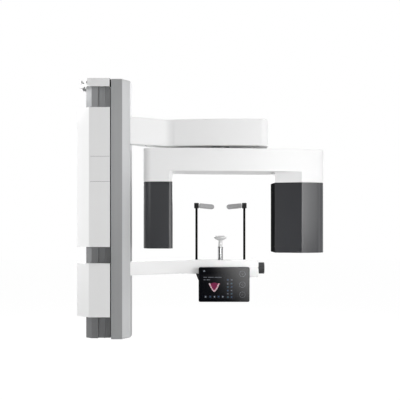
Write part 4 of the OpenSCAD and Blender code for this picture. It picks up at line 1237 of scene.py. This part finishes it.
@dataclass
class Sketch:
    """Flat shapes on the panel's glass, placed by shares of its width and height."""

    low: Vector
    high: Vector
    lift: float = 0.06 * MM
    corners: list[Vector] = field(default_factory=list)
    faces: list[list[int]] = field(default_factory=list)
    inks: list[Colour] = field(default_factory=list)

    def spot(self, u: float, v: float, layer: int) -> Vector:
        """A point on the glass by shares from its left and top, some films above it."""
        size = self.high - self.low
        return Vector((self.low.x + u * size.x, self.low.y - layer * self.lift, self.high.z - v * size.z))

    def polygon(self, points: Sequence[tuple[float, float]], ink: Ink, layer: int = 2) -> None:
        """Adds a filled outline.

        Args:
            points: Its corners as shares.
            ink: Its colour.
            layer: The film that it lies on.
        """
        start = len(self.corners)
        self.corners += [self.spot(u, v, layer) for u, v in points]
        self.faces.append(list(range(start, start + len(points))))
        self.inks.append(ink.value)

    def box(self, u: float, v: float, wide: float, tall: float, ink: Ink, layer: int = 2) -> None:
        """Adds a rectangle about a middle point.

        Args:
            u: Its middle as a share of the width.
            v: Its middle as a share of the height.
            wide: Its width as a share.
            tall: Its height as a share.
            ink: Its colour.
            layer: The film that it lies on.
        """
        half_u, half_v = wide / 2, tall / 2
        turns = ((-1, -1), (-1, 1), (1, 1), (1, -1))
        self.polygon([(u + a * half_u, v + b * half_v) for a, b in turns], ink, layer)

    def ring(
        self, u: float, v: float, radii: tuple[float, float], ink: Ink, steps: int = 28, layer: int = 2
    ) -> None:
        """Adds a round band, from an inner to an outer radius.

        Args:
            u: Its middle as a share of the width.
            v: Its middle as a share of the height.
            radii: Its inner and outer radius, as shares of the width.
            ink: Its colour.
            steps: How many pieces it has.
            layer: The film that it lies on.
        """
        size = self.high - self.low
        ratio = size.x / size.z
        angles = [2 * math.pi * i / steps for i in range(steps + 1)]
        inner, outer = ([(u + r * math.cos(a), v - r * ratio * math.sin(a)) for a in angles] for r in radii)
        for i in range(steps):
            self.polygon([inner[i], inner[i + 1], outer[i + 1], outer[i]], ink, layer)

    def piece(self, name: str) -> Piece:
        """The shapes as one mesh with a colour for each face.

        Args:
            name: The piece's name.

        Returns:
            The piece, on no body yet.
        """
        mesh = bpy.data.meshes.new(name)
        mesh.from_pydata(self.corners, [], self.faces)
        tint = mesh.attributes.new(INK.attribute, "FLOAT_COLOR", "CORNER")
        for face, ink in zip(mesh.polygons, self.inks):
            for loop in face.loop_indices:
                tint.data[loop].color = rgba(ink)
            if face.normal.y >= 0:
                face.flip()
        mesh.materials.append(INK.material())
        return linked(name, mesh)


@dataclass
class TouchPanel:
    """The tilting touch panel: housing, glass and the lit layout on it."""

    edge: EdgeBreak = EdgeBreak(1.6 * MM)
    glass_edge: EdgeBreak = EdgeBreak(0.4 * MM, 2)
    screw: SocketScrews = SocketScrews(3.0 * MM, 1.4 * MM, 1.4 * MM, 1.0 * MM)
    rows: tuple[float, ...] = (0.36, 0.47, 0.57, 0.675, 0.77, 0.87)
    columns: tuple[float, float] = (0.575, 0.65)
    foot_icons: tuple[float, ...] = (0.13, 0.225, 0.31, 0.39, 0.475)
    foot_row: float = 0.86
    keys: tuple[float, ...] = (0.185, 0.505, 0.80)
    key_u: float = 0.865
    bars: tuple[tuple[float, float, float], ...] = (
        (0.285, 0.09, 0.16), (0.285, 0.18, 0.29), (0.285, 0.31, 0.45), (0.36, 0.09, 0.13), (0.36, 0.15, 0.22),
    )
    teeth: int = 14
    arch_u: float = 0.303
    arch_v: float = 0.665
    arch_half: float = 0.080
    arch_band: float = 0.032
    arch_drop: float = 0.05
    arch_rise: float = 0.20
    arch_flare: float = 0.06
    arch_bend: float = 1.7
    screw_depth: float = 22 * MM
    screw_inset: float = 12 * MM

    def build(self) -> None:
        """Builds the housing and the glass, and lays the display on it."""
        self.edge.piece("panel_housing", Slot.PANEL_BLACK)
        self.glass_edge.piece("panel_glass", Slot.PANEL_GLASS)
        paint(Slot.BRIGHT_STEEL, "panel_pin")
        self.dress()

    def dress(self) -> None:
        """Adds the display and the screws in the back."""
        low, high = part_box("panel_glass")
        sketch = Sketch(low, high)
        self.draw_bars(sketch)
        self.draw_arch(sketch)
        self.draw_icons(sketch)
        self.draw_keys(sketch)
        settle(sketch.piece("panel_display"), "panel")
        low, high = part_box("panel_housing")
        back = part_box("panel_glass")[0].y + self.screw_depth
        xs, zs = ((low[i] + self.screw_inset, high[i] - self.screw_inset) for i in (0, 2))
        fixings = [Fixing(Vector((x, back, z)), BACK) for x in xs for z in zs]
        self.screw.place("panel_screws", "panel", Slot.BRIGHT_STEEL, fixings)

    def draw_bars(self, sketch: Sketch) -> None:
        """Draws the display's field, its heading and its lines of bars.

        Args:
            sketch: The sketch that takes them.
        """
        sketch.box(0.375, 0.565, 0.69, 0.73, Ink.NAVY, 1)
        sketch.ring(0.105, 0.10, (0.010, 0.016), Ink.PALE)
        sketch.box(0.105, 0.10, 0.012, 0.018, Ink.CYAN)
        for v, start, end in self.bars:
            sketch.box((start + end) / 2, v, end - start, 0.022, Ink.GREY)

    def draw_arch(self, sketch: Sketch) -> None:
        """Draws a row of teeth as blocks along an arch that opens at the top, round a palate.

        Args:
            sketch: The sketch that takes them.
        """
        rim = [i / self.teeth * 2 - 1 for i in range(self.teeth + 1)]
        dome = [(self.arch_u + 0.07 * t, 0.475 - 0.035 * (1 - t * t)) for t in (0.9, 0.45, 0.0, -0.45, -0.9)]
        sketch.polygon([self.arch_point(t, 0.25) for t in rim] + dome, Ink.MAGENTA)
        for i, (start, end) in enumerate(zip(rim, rim[1:])):
            gap = (end - start) * 0.08
            ends = ((start + gap, 0.0), (start + gap, 1.0), (end - gap, 1.0), (end - gap, 0.0))
            sketch.polygon([self.arch_point(t, side) for t, side in ends], (Ink.IVORY, Ink.ROSE)[i % 2], 3)

    def arch_point(self, along: float, side: float) -> tuple[float, float]:
        """A point of the arch of teeth.

        Args:
            along: The place along the arch, from -1 at its left end to 1 at its right end.
            side: 0 on the inner line, 1 on the outer.

        Returns:
            The point, as shares of the glass.
        """
        u = self.arch_u + (self.arch_half + self.arch_band * side) * along
        rise = (self.arch_rise + self.arch_flare * side) * abs(along) ** self.arch_bend
        return u, self.arch_v + self.arch_drop * side - rise

    def draw_icons(self, sketch: Sketch) -> None:
        """Draws the two columns of icons and the row at the foot.

        Args:
            sketch: The sketch that takes them.
        """
        for row, v in enumerate(self.rows):
            for column, u in enumerate(self.columns):
                ink = (Ink.BLUE, Ink.GREY, Ink.CYAN)[(row + column) % 3]
                sketch.box(u, v, 0.045, 0.062, Ink.SLATE)
                sketch.box(u, v, 0.024, 0.030, ink, 3)
        for i, u in enumerate(self.foot_icons):
            sketch.box(u, self.foot_row, 0.052, 0.072, Ink.SLATE)
            sketch.ring(u, self.foot_row, (0.0, 0.013), (Ink.PALE, Ink.BLUE)[i % 2], 20, 3)

    def draw_keys(self, sketch: Sketch) -> None:
        """Draws the three round touch keys at the right.

        Args:
            sketch: The sketch that takes them.
        """
        for v in self.keys:
            sketch.ring(self.key_u, v, (0.054, 0.060), Ink.GREY, 48)
            sketch.ring(self.key_u, v, (0.012, 0.016), Ink.GREY, 24)


@dataclass(frozen=True)
class SoftBox:
    """A round soft light on the room's wall."""

    way: Point
    level: float
    reach: float
    heart: float = math.radians(5)

    def glow(self, graph: Graph, way: Signal) -> Signal:
        """The light that comes from a direction.

        Args:
            graph: The room's graph.
            way: The direction.

        Returns:
            The light.
        """
        aim = Vector(self.way).normalized()
        near = graph.node("ShaderNodeVectorMath", {"operation": "DOT_PRODUCT"}, {0: way, 1: aim}, "Value")
        return near.eased(math.cos(self.reach), math.cos(self.heart)) * self.level


@dataclass(frozen=True)
class SoftLamp:
    """A rectangular soft lamp, which only light and reflections see."""

    name: str
    at: Point
    power: float
    size: tuple[float, float] = (1.2, 1.6)
    look: Point = (0.6, 0.0, 0.0)
    spread: float = math.pi

    def place(self) -> None:
        """Hangs the lamp in the scene and aims it."""
        data = bpy.data.lights.new(self.name, "AREA")
        data.shape = "RECTANGLE"
        data.size, data.size_y = self.size
        data.energy = self.power
        data.spread = self.spread
        made = bpy.data.objects.new(self.name, data)
        made.location = self.at
        made.rotation_euler = (Vector(self.look) - Vector(self.at)).to_track_quat("-Z", "Y").to_euler()
        made.visible_camera = False
        bpy.context.scene.collection.objects.link(made)


@dataclass
class Studio:
    """White room, soft lamps, pale floor and the camera."""

    camera_at: Point = (0.685, -2.88, -0.06)
    lens: float = 54.36
    sensor: float = 36.0
    shift: tuple[float, float] = (-0.055, 0.055)
    floor_z: float = -1.0
    floor_size: float = 24.0
    floor_front: float = -2.9
    floor_colour: Colour = (0.62, 0.62, 0.62)
    floor_share: float = 0.88
    floor_glow: float = 1.1
    floor_white: tuple[float, float] = (-0.6, 0.6)
    room_white: tuple[float, float] = (-0.1, 0.2)
    room_level: float = 0.24
    core_level: float = 0.02
    core_way: Point = (0.0, -0.9976, -0.07)
    core_reach: float = math.radians(50)
    panel_box: SoftBox = SoftBox((0.105, -1.0, -0.038), 10.5, math.radians(7.5), math.radians(1.5))
    lamps: tuple[SoftLamp, ...] = (
        SoftLamp("left_wall", (-2.6, 0.05, 0.8), 66.0, (1.2, 3.0)),
        SoftLamp("left_side", (-1.54, -2.38, 0.8), 13.0),
        SoftLamp("left_fill", (-0.49, -3.01, 0.5), 2.0),
        SoftLamp("right_wall", (3.79, -0.30, 0.0), 6.0, (0.9, 1.8)),
        SoftLamp("right_front", (2.2, -2.77, 0.1), 26.0, (0.9, 1.0)),
        SoftLamp("right_key", (2.74, -2.38, 0.55), 13.5),
        SoftLamp("right_side", (3.52, -1.25, 0.1), 12.0, (1.0, 1.4)),
        SoftLamp("right_top", (2.2, -1.4, 2.3), 9.0),
        SoftLamp("arm_fill", (1.3, -1.8, -0.12), 0.12, (0.3, 0.2), (0.86, 0.05, -0.21), math.radians(18)),
        SoftLamp("cap_fill", (-0.75, 0.06, 0.0), 0.2, (0.15, 0.15), (0.03, 0.0, 0.6), math.radians(14)),
        SoftLamp("back_left", (-0.23, 3.09, 0.9), 27.0),
        SoftLamp("back_right", (1.43, 3.09, 0.9), 27.0),
    )

    def build(self) -> None:
        """Sets the view, the room, the floor, the lamps and the camera."""
        bpy.context.scene.view_settings.view_transform = "Standard"
        self.room()
        self.floor()
        for lamp in self.lamps:
            lamp.place()
        self.camera()

    def room(self) -> None:
        """A room that is white to the eye and bright at its sides, and dark where the camera stands."""
        world = bpy.data.worlds.new("white_room")
        world.use_nodes = True
        bpy.context.scene.world = world
        graph = Graph(world.node_tree)
        graph.tree.nodes.clear()
        way = graph.node("ShaderNodeTexCoord", output="Generated")
        depth = graph.node("ShaderNodeSeparateXYZ", inputs={"Vector": way}, output="Y")
        ahead = graph.node(
            "ShaderNodeVectorMath", {"operation": "DOT_PRODUCT"}, {0: way, 1: self.core_way}, "Value"
        )
        away = (ahead.math("ARCCOSINE", ahead) * (1 / self.core_reach)).at_most(1.0)
        light = self.core_level + away * (self.room_level - self.core_level) + self.panel_box.glow(graph, way)
        seen = graph.seen(depth, *self.room_white)
        strength = seen + (1 - seen) * light
        glow = graph.node("ShaderNodeBackground", inputs={"Color": rgba(WHITE), "Strength": strength})
        graph.node("ShaderNodeOutputWorld", inputs={"Surface": glow})

    def floor(self) -> None:
        """A pale floor that reads as white and still takes the object's shadow."""
        half = self.floor_size / 2
        mesh = bpy.data.meshes.new("floor")
        corners = [(-half, self.floor_front), (half, self.floor_front), (half, half), (-half, half)]
        mesh.from_pydata([(x, y, self.floor_z) for x, y in corners], [], [(0, 1, 2, 3)])
        surface = Surface("pale_floor")
        surface.set(base_color=rgba(self.floor_colour), roughness=0.9)
        depth = surface.node("ShaderNodeSeparateXYZ", inputs={"Vector": surface.place}, output="Y")
        share = surface.seen(depth, *self.floor_white) * self.floor_share
        glow = surface.node("ShaderNodeEmission", inputs={"Color": rgba(WHITE), "Strength": self.floor_glow})
        mixed = surface.node(
            "ShaderNodeMixShader", inputs={0: share, 1: Signal(surface, surface.shader.outputs[0]), 2: glow}
        )
        surface.node("ShaderNodeOutputMaterial", {"is_active_output": True}, {"Surface": mixed})
        mesh.materials.append(surface.material)
        linked("floor", mesh)

    def camera(self) -> None:
        """A level camera with a shifted lens."""
        data = bpy.data.cameras.new("camera")
        data.sensor_width = self.sensor
        data.lens = self.lens
        data.shift_x, data.shift_y = self.shift
        data.clip_end = 100.0
        made = bpy.data.objects.new("camera", data)
        made.location = self.camera_at
        made.rotation_euler = (math.pi / 2, 0.0, 0.0)
        bpy.context.scene.collection.objects.link(made)
        bpy.context.scene.camera = made


def main() -> None:
    """Builds the studio and each sub-assembly in order."""
    logging.basicConfig(level=logging.INFO, format="%(name)s: %(message)s")
    parts = (
        Studio(), WallUnit(), LiftColumn(), UpperArm(), Gantry(),
        LowerArm(), TempleSupport(), ChinRest(), TouchPanel(),
    )
    for part in parts:
        LOG.info("building %s", type(part).__name__)
        part.build()


if __name__ == "__main__":
    main()
